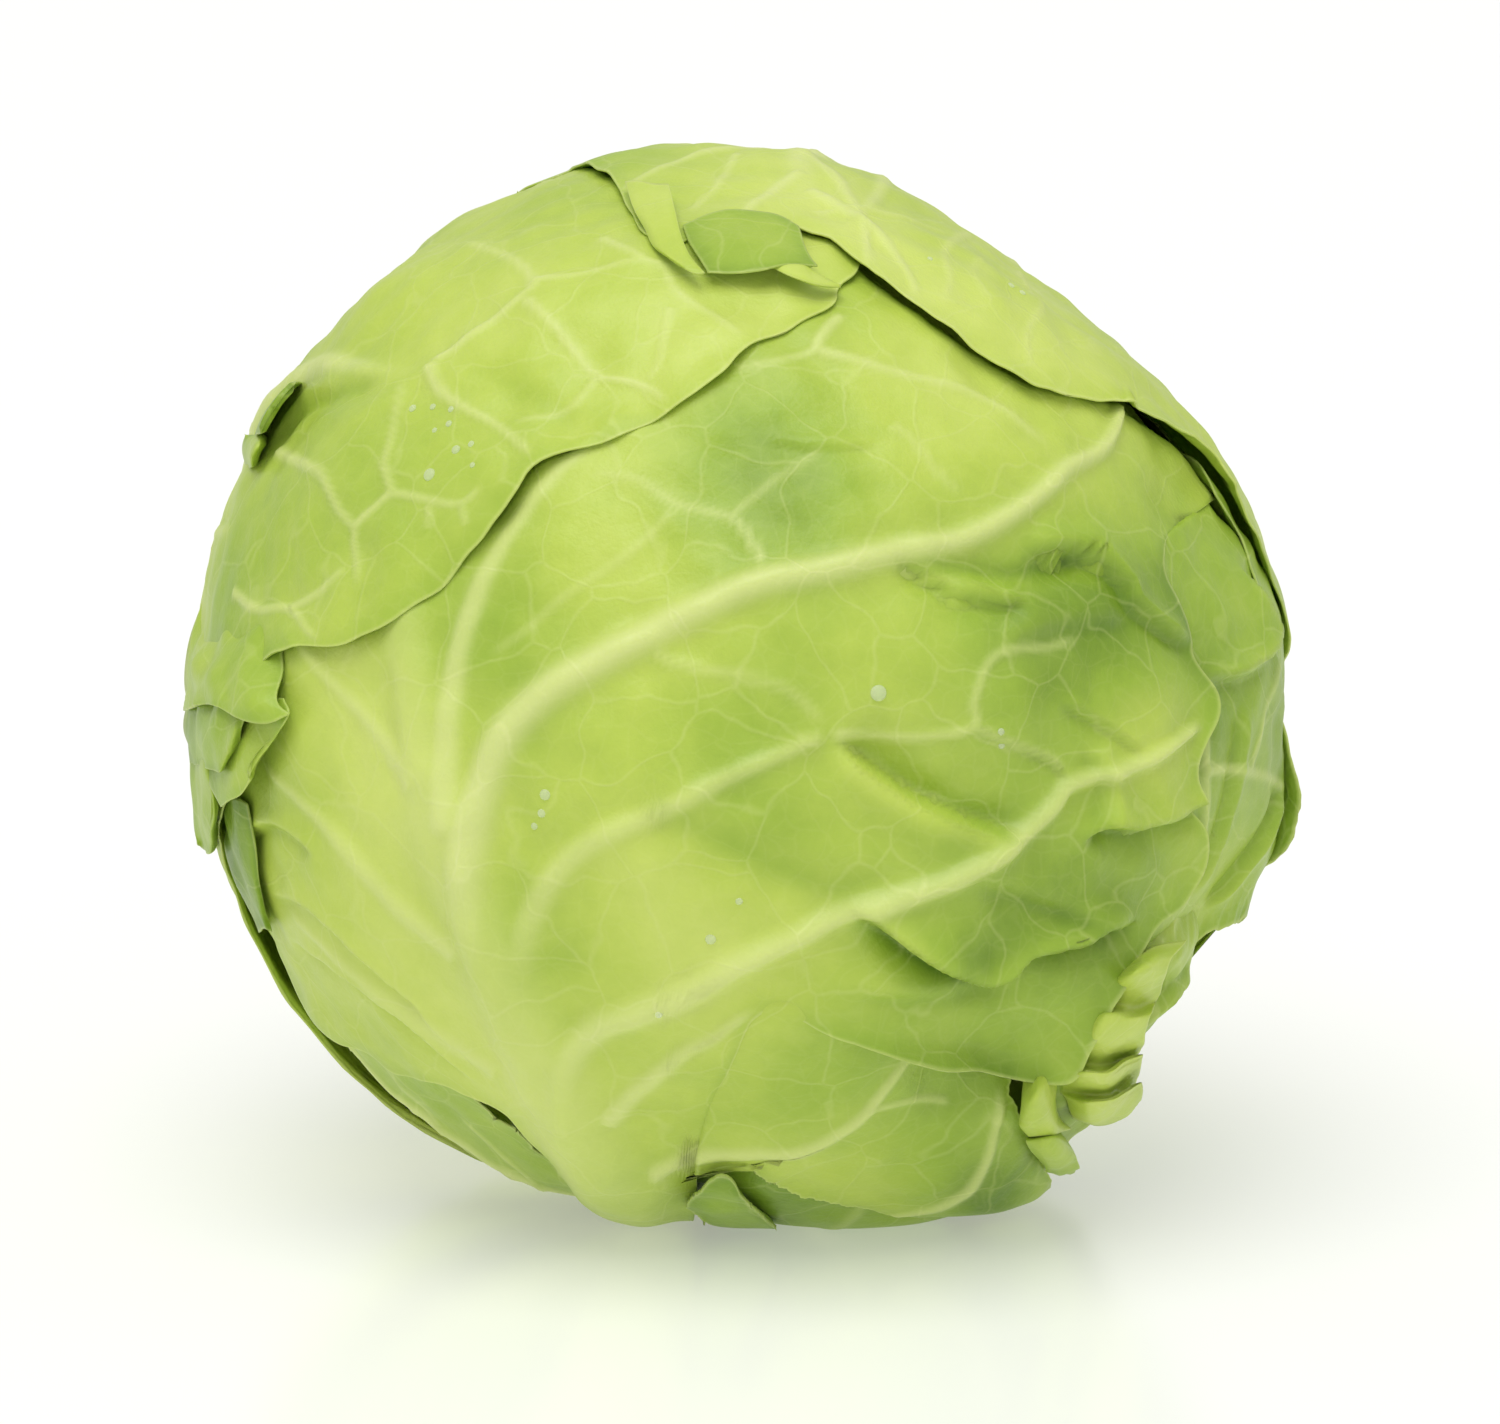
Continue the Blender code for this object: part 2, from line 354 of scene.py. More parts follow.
@dataclass(frozen=True)
class Fold:
    """A crease or a soft wave: higher on the left of its path and lower on its right."""

    path: tuple[Pair, ...]
    rise: float = 1.0
    drop: float = 1.0
    width: float = 5.0
    sharp: float = 0.5  # share of the width over which one side turns into the other

    def across(self, p: Array, q: Array) -> tuple[Array, Array]:
        """Distance from the path in widths, positive on its left, and a factor that fades its ends.

        Args:
            p: degrees to the right.
            q: degrees upwards.

        Returns:
            The signed distance, and the factor from 0 to 1.
        """
        curve = spline(self.path, closed=False, steps=8)
        distance, along, side = nearest(p, q, curve, 4.0 * self.width / DEGREE)
        ends = smooth(along, 0.0, 0.18) * smooth(along, 1.0, 0.82)
        return distance * DEGREE * side / self.width, np.where(distance >= FAR, 0.0, ends)

    def on(self, p: Array, q: Array) -> Array:
        """Height at chart points: a bell on each side of the path, joined by a steep step.

        Args:
            p: degrees to the right.
            q: degrees upwards.

        Returns:
            Millimetres of height.
        """
        across, ends = self.across(p, q)
        left = smooth(across, -self.sharp, self.sharp)
        return (self.rise * left - self.drop * (1.0 - left)) * np.exp(-across ** 2) * ends

    def painted_fold_shading(self, p: Array, q: Array) -> Array:
        """Painted shade and light at chart points: deeper tone in the hollow on the low side of the step,
        where shade falls, and paler tone on the raised side, where light falls.

        Args:
            p: degrees to the right.
            q: degrees upwards.

        Returns:
            What to add to the tone.
        """
        across, ends = self.across(p, q)
        # painted shade in the hollow on the low side of the step
        hollow = self.drop * np.exp(-((across + 0.28) / 0.34) ** 2)
        # painted highlight on the raised side of the step
        painted_highlight = self.rise * np.exp(-((across - 0.30) / 0.40) ** 2)
        return (0.085 * hollow - 0.035 * painted_highlight) * ends


@dataclass(frozen=True)
class Lift:
    """A stretch of margin that stands off the head."""

    place: Pair  # on the chart, near the margin
    width: float  # in degrees
    depth: float  # millimetres in from the margin at which it starts
    height: float

    def on(self, p: Array, q: Array, inside: Array) -> Array:
        """Height: a bell along the margin, times the square of how near the margin is.

        Args:
            p: degrees to the right.
            q: degrees upwards.
            inside: millimetres inside the margin.

        Returns:
            Millimetres of height.
        """
        near = np.clip(1.0 - inside / self.depth, 0.0, 1.0) ** 2
        squared = (p - self.place[0]) ** 2 + (q - self.place[1]) ** 2
        return self.height * near * np.exp(-squared / self.width ** 2)


@dataclass
class Outline:
    """A leaf's margin: a closed curve on its chart, seen from a hub inside it."""

    corners: tuple[Pair, ...]
    hub: Pair
    wave: float = 0.35  # degrees of small irregular waves in the margin
    seed: int = 1

    def __post_init__(self) -> None:
        """Distances from the hub for even angles: the curve's furthest point in each, a little blurred."""
        curve = spline(np.asarray(self.corners, float) - self.hub, closed=True, steps=60)
        self.angles = np.linspace(-math.pi, math.pi, ANGLES + 1)
        turns = (np.arctan2(curve[:, 1], curve[:, 0]) + math.pi) * (ANGLES // 2) / math.pi
        slots = np.rint(turns).astype(int) % ANGLES
        radii = np.zeros(ANGLES)
        np.maximum.at(radii, slots, np.hypot(*curve.T))
        found = np.nonzero(radii)[0]
        radii = np.interp(np.arange(ANGLES), found, radii[found], period=ANGLES)
        weights = np.exp(-(np.arange(-4, 5) / 2.2) ** 2)
        radii = sum(w * np.roll(radii, k) for k, w in enumerate(weights / weights.sum(), -4))
        radii = np.append(radii, radii[0])
        random = np.random.default_rng(self.seed)
        for count in (17, 29, 47, 83, 131):
            radii = radii + self.wave * (17 / count) ** 0.6 * random.normal() * np.cos(
                count * self.angles + random.uniform(0, 6.3))
        self.radii = radii
        blur = np.exp(-(np.arange(-160, 161) / 50.0) ** 2)
        core = np.convolve(np.concatenate([radii[-161:-1], radii, radii[1:161]]), blur / blur.sum(),
                           "valid")
        self.core = np.minimum(core, 1.2 * radii)

    def spread(self, share: Array, angle: Array) -> Array:
        """Distance from the hub of a grid point: even inside, and true to the margin only near it.

        share times the blurred margin, plus the rest times share to the fourth.
        """
        core = np.interp(angle, self.angles, self.core, period=2 * math.pi)
        return share * core + (self.reach(angle) - core) * share ** 4

    def reach(self, angle: Array) -> Array:
        """Distance from the hub to the margin at angles about it."""
        return np.interp(angle, self.angles, self.radii, period=2 * math.pi)

    def inside(self, p: Array, q: Array) -> Array:
        """Degrees inside the margin along the line from the hub; negative outside."""
        x, y = p - self.hub[0], q - self.hub[1]
        return self.reach(np.arctan2(y, x)) - np.hypot(x, y)


def disc_grid(count: int, crowd: float) -> tuple[Array, Array]:
    """A square grid pressed into the unit disc, with its rows crowded towards the rim.

    x = u sqrt(1 - v v / 2) and y = v sqrt(1 - u u / 2), where u and v run from -1 to 1, eased by
    (1 + crowd) u - crowd u cubed.

    Args:
        count: points along each side.
        crowd: how much closer the rows are at the rim.

    Returns:
        Distances from the middle, and angles about it.
    """
    side = np.linspace(-1.0, 1.0, count)
    side = (1.0 + crowd) * side - crowd * side ** 3
    u, v = np.meshgrid(side, side, indexing="ij")
    x, y = u * np.sqrt(1.0 - v * v / 2.0), v * np.sqrt(1.0 - u * u / 2.0)
    return np.minimum(np.hypot(x, y), 1.0), np.arctan2(y, x)


def grid_normals(points: Array) -> Array:
    """Unit normals of a grid: the cross product of its two central differences."""
    normal = np.cross(np.gradient(points, axis=0), np.gradient(points, axis=1))
    return normal / np.maximum(np.linalg.norm(normal, axis=-1, keepdims=True), 1e-12)


# ---------------------------------------------------------------- meshes


def make_mesh(name: str, points: Array, quads: Array, triangles: Array) -> bpy.types.Mesh:
    """A smooth-shaded mesh from arrays.

    Args:
        name: the mesh's name.
        points: vertices in millimetres, one a row.
        quads: four vertex numbers a row.
        triangles: three vertex numbers a row.

    Returns:
        The mesh, in metres.
    """
    mesh = bpy.data.meshes.new(name)
    mesh.vertices.add(len(points))
    mesh.vertices.foreach_set("co", (points * MM).astype(np.float32).ravel())
    corners = np.concatenate([quads.ravel(), triangles.ravel()]).astype(np.int32)
    mesh.loops.add(len(corners))
    mesh.loops.foreach_set("vertex_index", corners)
    starts = np.concatenate([np.arange(len(quads)) * 4, quads.size + np.arange(len(triangles)) * 3])
    mesh.polygons.add(len(starts))
    mesh.polygons.foreach_set("loop_start", starts.astype(np.int32))
    mesh.update(calc_edges=True)
    mesh.validate()
    mesh.shade_smooth()
    return mesh


def grid_faces(index: Array) -> Array:
    """Quads of a grid of vertex numbers, facing the way its normals do."""
    corners = (index[:-1, :-1], index[1:, :-1], index[1:, 1:], index[:-1, 1:])
    return np.stack(corners, axis=-1).reshape(-1, 4)


def turned_faces(columns: int, rows: int) -> tuple[Array, Array]:
    """Faces of a closed turned surface.

    Args:
        columns: points round the axis.
        rows: points along it, upwards; the last two vertices are the lower and upper poles.

    Returns:
        The quads between rows, and the triangles that close the poles.
    """
    index = np.arange(columns * rows).reshape(columns, rows)
    index = np.concatenate([index, index[:1]])
    low, high = np.full(columns, columns * rows), np.full(columns, columns * rows + 1)
    caps = [np.stack([low, index[1:, 0], index[:-1, 0]], axis=-1),
            np.stack([high, index[:-1, -1], index[1:, -1]], axis=-1)]
    return grid_faces(index), np.concatenate(caps)


def turned_points(profile: Array, columns: int) -> Array:
    """A profile turned round the upright axis: x = radius sin(yaw), y = -radius cos(yaw).

    Args:
        profile: radii and heights, upwards; the first and last are the poles.
        columns: points round the axis.

    Returns:
        The points, column by column, and then the two poles.
    """
    yaw = np.linspace(0.0, 2.0 * math.pi, columns, endpoint=False)
    radii, heights = profile[1:-1].T
    points = np.stack([np.outer(np.sin(yaw), radii), np.outer(-np.cos(yaw), radii),
                       np.broadcast_to(heights, (columns, len(heights)))], axis=-1)
    ends = np.array([[0.0, 0.0, profile[0, 1]], [0.0, 0.0, profile[-1, 1]]])
    return np.concatenate([points.reshape(-1, 3), ends])


def ball_profile(rows: int) -> Array:
    """The profile of a ball of radius 1: the cosine and sine of even tilts from pole to pole."""
    tilt = np.linspace(-math.pi / 2, math.pi / 2, rows + 2)
    return np.stack([np.cos(tilt), np.sin(tilt)], axis=-1)


def rim_of(index: Array) -> Array:
    """Vertex numbers round a grid's edge, as one closed loop that turns with its quads."""
    return np.concatenate([index[:-1, 0], index[-1, :-1], index[:0:-1, -1], index[0, :0:-1]])


def shell_mesh(name: str, outer: Array, thickness: Array, coarse: int,
               marks: dict[str, Array]) -> bpy.types.Mesh:
    """A closed shell: an outer grid, an inner grid of some of its points sunk along their normals, and a rim.

    Args:
        name: the mesh's name.
        outer: grid of points, whose side is a multiple of coarse, plus one.
        thickness: thickness at each of them.
        coarse: outer steps for each inner step.
        marks: values for each outer point, by attribute name.

    Returns:
        The mesh, with the marks as attributes.
    """
    inner = (outer - grid_normals(outer) * thickness[..., None])[::coarse, ::coarse]
    outer_index = np.arange(outer.shape[0] * outer.shape[1]).reshape(outer.shape[:2])
    inner_index = outer_index.size + np.arange(inner.shape[0] * inner.shape[1]).reshape(inner.shape[:2])
    quads = np.concatenate([grid_faces(outer_index), grid_faces(inner_index)[:, ::-1]])
    fine, rough = rim_of(outer_index), rim_of(inner_index)
    after = np.roll(rough, -1)
    middle = fine[coarse // 2::coarse]
    fans = [np.stack([np.where(i <= coarse // 2 - 1 + 0 * rough, rough, after),
                      np.roll(fine, -1)[i::coarse],
                      fine[i::coarse]], axis=-1) for i in range(coarse)]
    closing = np.stack([rough, after, middle], axis=-1)
    mesh = make_mesh(name, np.concatenate([outer.reshape(-1, 3), inner.reshape(-1, 3)]), quads,
                     np.concatenate([*fans, closing]))
    for key, values in marks.items():
        both = np.concatenate([values.ravel(), values[::coarse, ::coarse].ravel()])
        mesh.attributes.new(key, "FLOAT", "POINT").data.foreach_set("value", both.astype(np.float32))
    return mesh


def add_piece(name: str, mesh: bpy.types.Mesh, material: bpy.types.Material,
              nodes: tuple[str, ...]) -> bpy.types.Object:
    """A piece of the object: linked, dressed, riding on the frame and standing for its nodes.

    Args:
        name: the piece's name.
        mesh: its mesh, in place.
        material: its finish.
        nodes: the CAD nodes that it stands for.

    Returns:
        The new object.
    """
    mesh.materials.append(material)
    piece = bpy.data.objects.new(name, mesh)
    bpy.context.scene.collection.objects.link(piece)
    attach(piece, BODY)
    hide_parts(*nodes)
    log.info("%s: %d faces", name, len(mesh.polygons))
    return piece


# ---------------------------------------------------------------- finishes


def linear(colour: str) -> tuple[float, float, float, float]:
    """An sRGB hex colour as linear red, green, blue and alpha.

    Args:
        colour: a hash and six hex digits.

    Returns:
        Four values from 0 to 1.
    """
    channels = [int(colour[i:i + 2], 16) / 255 for i in (1, 3, 5)]
    values = [c / 12.92 if c <= 0.04045 else ((c + 0.055) / 1.055) ** 2.4 for c in channels]
    return (*values, 1.0)


def add_node(tree: bpy.types.NodeTree, kind: str, settings: dict | None = None,
             inputs: dict | None = None, stops: tuple[tuple[float, str], ...] = ()) -> bpy.types.Node:
    """A node with its settings, and its inputs linked or set.

    Args:
        tree: the material's node tree.
        kind: the node's type.
        settings: the node's own properties.
        inputs: socket names or numbers, each with a value or with another node's output.
        stops: for a scale of colours, places from 0 to 1, each with a hex colour.

    Returns:
        The new node.
    """
    node = tree.nodes.new(kind)
    for key, value in (settings or {}).items():
        setattr(node, key, value)
    for key, value in (inputs or {}).items():
        if isinstance(value, bpy.types.NodeSocket):
            tree.links.new(value, node.inputs[key])
        else:
            node.inputs[key].default_value = value
    for number, (place, colour) in enumerate(stops):  # a scale starts with two elements
        elements = node.color_ramp.elements
        element = elements[number] if number < 2 else elements.new(place)
        element.position = place
        element.color = linear(colour)
    return node


def new_material(name: str) -> tuple[bpy.types.Material, bpy.types.NodeTree, bpy.types.Node,
                                     bpy.types.NodeSocket]:
    """An empty finish.

    Args:
        name: what the real material is called.

    Returns:
        The material, its node tree, its shader, and the socket of places on the object.
    """
    material = bpy.data.materials.new(name)
    material.use_nodes = True
    tree = material.node_tree
    place = add_node(tree, "ShaderNodeTexCoord").outputs["Object"]
    return material, tree, tree.nodes["Principled BSDF"], place


@dataclass(frozen=True)
class LeafTissue:
    """Fresh cabbage leaf: a waxy skin over pale flesh, with pale ribs and a net of fine veins.

    The wax gives a soft sheen and the wet flesh under it lets a little light through.
    """

    name: str = "cabbage_leaf"
    palest: str = "#D0DE72"
    pale: str = "#BACE54"
    green: str = "#98B53A"
    deep: str = "#66871E"
    rib: str = "#D6E08E"
    net_cell: float = 15.0  # millimetres across a mesh of the vein net
    fine_cell: float = 4.2
    mottle_size: float = 9.0
    grain_size: float = 0.7  # real cells are finer; drawn as coarse as it needs to show
    crepe_size: float = 5.0
    roughness: float = 0.42

    def build(self) -> bpy.types.Material:
        """A ramp by the leaf's tone, paler along ribs and nets, with a bump of grain, nets and crepe.

        Returns:
            The material.
        """
        material, tree, shader, place = new_material(self.name)
        tone = add_node(tree, "ShaderNodeAttribute", {"attribute_name": "tone"}).outputs["Fac"]
        vein = add_node(tree, "ShaderNodeAttribute", {"attribute_name": "vein"}).outputs["Fac"]
        bend = add_node(tree, "ShaderNodeTexNoise", inputs={"Vector": place, "Scale": 1 / (14.0 * MM),
                                                            "Detail": 2.0}).outputs["Color"]
        bent = add_node(tree, "ShaderNodeMix", {"data_type": "VECTOR"},
                        {0: 9.0 * MM, 4: place, 5: bend}).outputs[1]
        net = self.net(tree, bent, self.net_cell, 0.45)
        fine = self.net(tree, bent, self.fine_cell, 0.32)
        mottle = add_node(tree, "ShaderNodeTexNoise",
                          inputs={"Vector": place, "Scale": 1 / (self.mottle_size * MM), "Detail": 5.0,
                                  "Roughness": 0.62}).outputs["Fac"]
        shifted = add_node(tree, "ShaderNodeMath", {"operation": "MULTIPLY_ADD"},
                           {0: mottle, 1: 0.34, 2: -0.17}).outputs[0]
        mixed = add_node(tree, "ShaderNodeMath", {"operation": "ADD"}, {0: tone, 1: shifted}).outputs[0]
        blade = add_node(tree, "ShaderNodeValToRGB", inputs={"Fac": mixed},
                         stops=((0.0, self.palest), (0.33, self.pale), (0.66, self.green),
                                (1.0, self.deep))).outputs["Color"]
        lines = add_node(tree, "ShaderNodeMath", {"operation": "MULTIPLY_ADD"},
                         {0: fine, 1: 0.05, 2: 0.0}).outputs[0]
        lines = add_node(tree, "ShaderNodeMath", {"operation": "MULTIPLY_ADD"},
                         {0: net, 1: 0.16, 2: lines}).outputs[0]
        amount = add_node(tree, "ShaderNodeMath", {"operation": "MULTIPLY_ADD", "use_clamp": True},
                          {0: vein, 1: 0.85, 2: lines}).outputs[0]
        colour = add_node(tree, "ShaderNodeMix", {"data_type": "RGBA"},
                          {0: amount, 6: blade, 7: linear(self.rib)}).outputs[2]
        grain = add_node(tree, "ShaderNodeTexNoise",
                         inputs={"Vector": place, "Detail": 3.0,
                                 "Scale": 1 / (self.grain_size * MM)}).outputs["Fac"]
        crepe = add_node(tree, "ShaderNodeTexNoise",
                         inputs={"Vector": place, "Scale": 1 / (self.crepe_size * MM), "Detail": 4.0,
                                 "Roughness": 0.6}).outputs["Fac"]
        relief = add_node(tree, "ShaderNodeMath", {"operation": "MULTIPLY_ADD"},
                          {0: net, 1: 0.6, 2: grain}).outputs[0]
        relief = add_node(tree, "ShaderNodeMath", {"operation": "MULTIPLY_ADD"},
                          {0: crepe, 1: 4.0, 2: relief}).outputs[0]
        bump = add_node(tree, "ShaderNodeBump", inputs={"Height": relief, "Strength": 0.28,
                                                        "Distance": 0.25 * MM}).outputs["Normal"]
        tree.links.new(colour, shader.inputs["Base Color"])
        tree.links.new(bump, shader.inputs["Normal"])
        shader.inputs["Roughness"].default_value = self.roughness
        shader.inputs["IOR"].default_value = 1.42
        shader.inputs["Subsurface Weight"].default_value = 0.12
        shader.inputs["Subsurface Radius"].default_value = (1.0, 1.2, 0.3)
        shader.inputs["Subsurface Scale"].default_value = 2.0 * MM
        return material

    def net(self, tree: bpy.types.NodeTree, place: bpy.types.NodeSocket, cell: float,
            line: float) -> bpy.types.NodeSocket:
        """A net of veins: near the walls between scattered cells.

        Args:
            tree: the material's node tree.
            place: where on the leaf.
            cell: millimetres across a mesh.
            line: millimetres across a vein.

        Returns:
            The socket of the net's strength, from 0 to 1.
        """
        walls = add_node(tree, "ShaderNodeTexVoronoi", {"feature": "DISTANCE_TO_EDGE"},
                         {"Vector": place, "Scale": 1 / (cell * MM)}).outputs["Distance"]
        return add_node(tree, "ShaderNodeMapRange", {"interpolation_type": "SMOOTHSTEP"},
                        {"Value": walls, "From Min": 0.0, "From Max": line / cell, "To Min": 1.0,
                         "To Max": 0.0}).outputs["Result"]


@dataclass(frozen=True)
class StalkTissue:
    """Cut cabbage stalk: pale pith, a ring of fibre ends, and a rim that has begun to brown."""

    name: str = "cabbage_stalk"
    pith: str = "#E3E8C0"
    ring: str = "#C6CE93"
    rim: str = "#A3A268"
    brown: str = "#A88C58"
    reach: float = 16.5  # millimetres from the axis to the rim
    fibre: float = 1.3

    def build(self) -> bpy.types.Material:
        """A ramp by distance from the axis, browned in patches, with a bump of fibre ends.

        Returns:
            The material.
        """
        material, tree, shader, place = new_material(self.name)
        flat = add_node(tree, "ShaderNodeVectorMath", {"operation": "MULTIPLY"},
                        {0: place, 1: (1.0, 1.0, 0.0)}).outputs[0]
        away = add_node(tree, "ShaderNodeVectorMath", {"operation": "LENGTH"}, {0: flat}).outputs["Value"]
        patches = add_node(tree, "ShaderNodeTexNoise", inputs={"Vector": place, "Scale": 1 / (5.0 * MM),
                                                               "Detail": 4.0}).outputs["Fac"]
        share = add_node(tree, "ShaderNodeMath", {"operation": "MULTIPLY"},
                         {0: away, 1: 1 / (self.reach * MM)}).outputs[0]
        share = add_node(tree, "ShaderNodeMath", {"operation": "MULTIPLY_ADD"},
                         {0: patches, 1: 0.16, 2: share}).outputs[0]
        base = add_node(tree, "ShaderNodeValToRGB", inputs={"Fac": share},
                        stops=((0.0, self.pith), (0.62, self.pith), (0.80, self.ring), (0.92, self.pith),
                               (1.0, self.rim))).outputs["Color"]
        age = add_node(tree, "ShaderNodeMapRange",
                       inputs={"Value": patches, "From Min": 0.5, "From Max": 0.75,
                               "To Max": 0.5}).outputs["Result"]
        colour = add_node(tree, "ShaderNodeMix", {"data_type": "RGBA"},
                          {0: age, 6: base, 7: linear(self.brown)}).outputs[2]
        ends = add_node(tree, "ShaderNodeTexVoronoi",
                        inputs={"Vector": place, "Scale": 1 / (self.fibre * MM)}).outputs["Distance"]
        bump = add_node(tree, "ShaderNodeBump", inputs={"Height": ends, "Strength": 0.4,
                                                        "Distance": 0.3 * MM}).outputs["Normal"]
        tree.links.new(colour, shader.inputs["Base Color"])
        tree.links.new(bump, shader.inputs["Normal"])
        shader.inputs["Roughness"].default_value = 0.6
        shader.inputs["Subsurface Weight"].default_value = 0.1
        shader.inputs["Subsurface Scale"].default_value = 2.0 * MM
        return material


@dataclass(frozen=True)
class Water:
    """Drops of water: partly see-through, with a bright gloss; their pale colour is a painted highlight for
    the light they catch.
    """

    name: str = "water"
    film: float = 0.6  # millimetres
    body: float = 0.42  # how much light the drop itself turns back

    def build(self) -> bpy.types.Material:
        """A thin clear body, its roughness from a fine noise.

        Returns:
            The material.
        """
        material, tree, shader, place = new_material(self.name)
        film = add_node(tree, "ShaderNodeTexNoise", inputs={"Vector": place,
                                                            "Scale": 1 / (self.film * MM)}).outputs["Fac"]
        rough = add_node(tree, "ShaderNodeMapRange", inputs={"Value": film, "To Min": 0.02,
                                                             "To Max": 0.12}).outputs["Result"]
        tree.links.new(rough, shader.inputs["Roughness"])
        # the pale base colour, shown at the body's opacity, is a painted highlight standing in for the light
        # that real drops reflect and bend
        shader.inputs["Base Color"].default_value = linear("#E9F3CF")
        shader.inputs["IOR"].default_value = 1.333
        shader.inputs["Alpha"].default_value = self.body
        return material


# ---------------------------------------------------------------- leaves


@dataclass(frozen=True)
class Drawing:
    """What is drawn on a leaf: ribs, folds and blisters that raise it, and its patches of tone, partly its
    own and partly painted light and shade.
    """

    chart: Chart
    ribs: tuple[Rib, ...] = ()
    folds: tuple[Fold, ...] = ()
    lumps: tuple[Lump, ...] = ()
    # patches of the leaf's own tone and of painted light and shade
    tone_and_painted_light: tuple[Lump, ...] = ()
    tone: float = 0.4
    wave: float = 0.5  # millimetres of broad undulation
    wrinkle: float = 0.16  # millimetres of fine undulation
    seed: int = 5

    def relief(self, headings: Array) -> Array:
        """Height at headings: two ripples, and every rib, fold and lump.

        Args:
            headings: unit headings.

        Returns:
            Millimetres of height.
        """
        p, q = self.chart.locate(headings)
        total = (self.wave * ripple(headings, 34.0, self.seed)
                 + self.wrinkle * ripple(headings, 9.0, self.seed + 1))
        for rib in self.ribs:
            total += rib.on(p, q)[0]
        for part in (*self.folds, *self.lumps):
            total += part.on(p, q)
        return total

    def marks(self, headings: Array, inside: Array) -> dict[str, Array]:
        """Tone, from pale to deep green, partly painted shade and light from patches and folds, and paleness
        of veins with a painted highlight along the margin.

        Args:
            headings: unit headings.
            inside: millimetres inside the margin.

        Returns:
            Values for each heading, by attribute name.
        """
        p, q = self.chart.locate(headings)
        # a pale line along the margin: painted highlight on the thin cut edge
        vein = 0.45 * smooth(inside, 0.9, 0.0)
        for rib in self.ribs:
            vein = np.maximum(vein, rib.on(p, q)[1])
        tone = self.tone + 0.08 * ripple(headings, 46.0, self.seed + 7) + 0.10 * smooth(inside, 6.0, 0.0)
        # patches of own tone, painted shade and painted highlight
        for patch in self.tone_and_painted_light:
            tone = tone + patch.on(p, q)
        # painted shade in each fold's hollow, painted light on its raised side
        for fold in self.folds:
            tone = tone + fold.painted_fold_shading(p, q)
        return {"tone": tone, "vein": np.clip(vein, 0.0, 1.0)}


@dataclass
class WrapperLeaf:
    """One wrapper leaf: its place in the layers, its margin and what is drawn on it."""

    name: str
    drawing: Drawing
    outline: Outline
    offset: float  # millimetres outside the head's form
    floor: float = 1.0
    grid: int = 199
    slopes: tuple[Lump | Fold, ...] = ()  # changes of level of this leaf alone
    lifts: tuple[Lift, ...] = ()
    thickness: float = 1.0
    tuck: float = 3.0  # how far the covered part sinks
    covers: list["WrapperLeaf"] = field(default_factory=list)
    rests: list["WrapperLeaf"] = field(default_factory=list)
    coarse: int = 3

    def surface(self, p: Array, q: Array, head: HeadForm) -> Array:
        """Points of the outer face at chart coordinates.

        The radius is the head's form plus the leaf's offset, its own relief, most of the relief of what it
        rests on, and its margin's lifts, less the tuck where another leaf covers it.

        Args:
            p: degrees to the right.
            q: degrees upwards.
            head: the head's form.

        Returns:
            The points, in millimetres.
        """
        headings = self.drawing.chart.headings(p, q)
        inside = self.outline.inside(p, q) * DEGREE
        radius = head.radius(headings) + self.offset + self.drawing.relief(headings)
        for slope in self.slopes:
            radius = radius + slope.on(p, q)
        for leaf in self.rests:
            radius = radius + 0.75 * leaf.drawing.relief(headings) * leaf.shadow(headings, 0.0, 4.0)
        for lift in self.lifts:
            radius = radius + lift.on(p, q, inside)
        hidden = np.zeros(p.shape)
        for leaf in self.covers:
            hidden = np.maximum(hidden, leaf.shadow(headings, 0.4, 5.0))
        return head.place(headings, radius - self.tuck * hidden, self.floor)

    def shadow(self, headings: Array, low: float, high: float) -> Array:
        """How far headings are under this leaf: 0 outside low and 1 beyond high degrees inside its margin."""
        return smooth(self.outline.inside(*self.drawing.chart.locate(headings)), low, high)

    def build(self, head: HeadForm, finish: bpy.types.Material) -> bpy.types.Object:
        """The leaf as a closed shell, thinned towards its margin.

        Args:
            head: the head's form.
            finish: its material.

        Returns:
            The piece.
        """
        count = self.grid
        share, angle = disc_grid(count, 0.35)
        radius = self.outline.spread(share, angle)
        p = self.outline.hub[0] + radius * np.cos(angle)
        q = self.outline.hub[1] + radius * np.sin(angle)
        points = self.surface(p, q, head)
        inside = (self.outline.reach(angle) - radius) * DEGREE
        thickness = self.thickness * (0.35 + 0.65 * smooth(inside, 0.0, 2.5))
        marks = self.drawing.marks(self.drawing.chart.headings(p, q), inside)
        mesh = shell_mesh(self.name, points, thickness, self.coarse, marks)
        return add_piece(self.name + "_piece", mesh, finish, (self.name,))


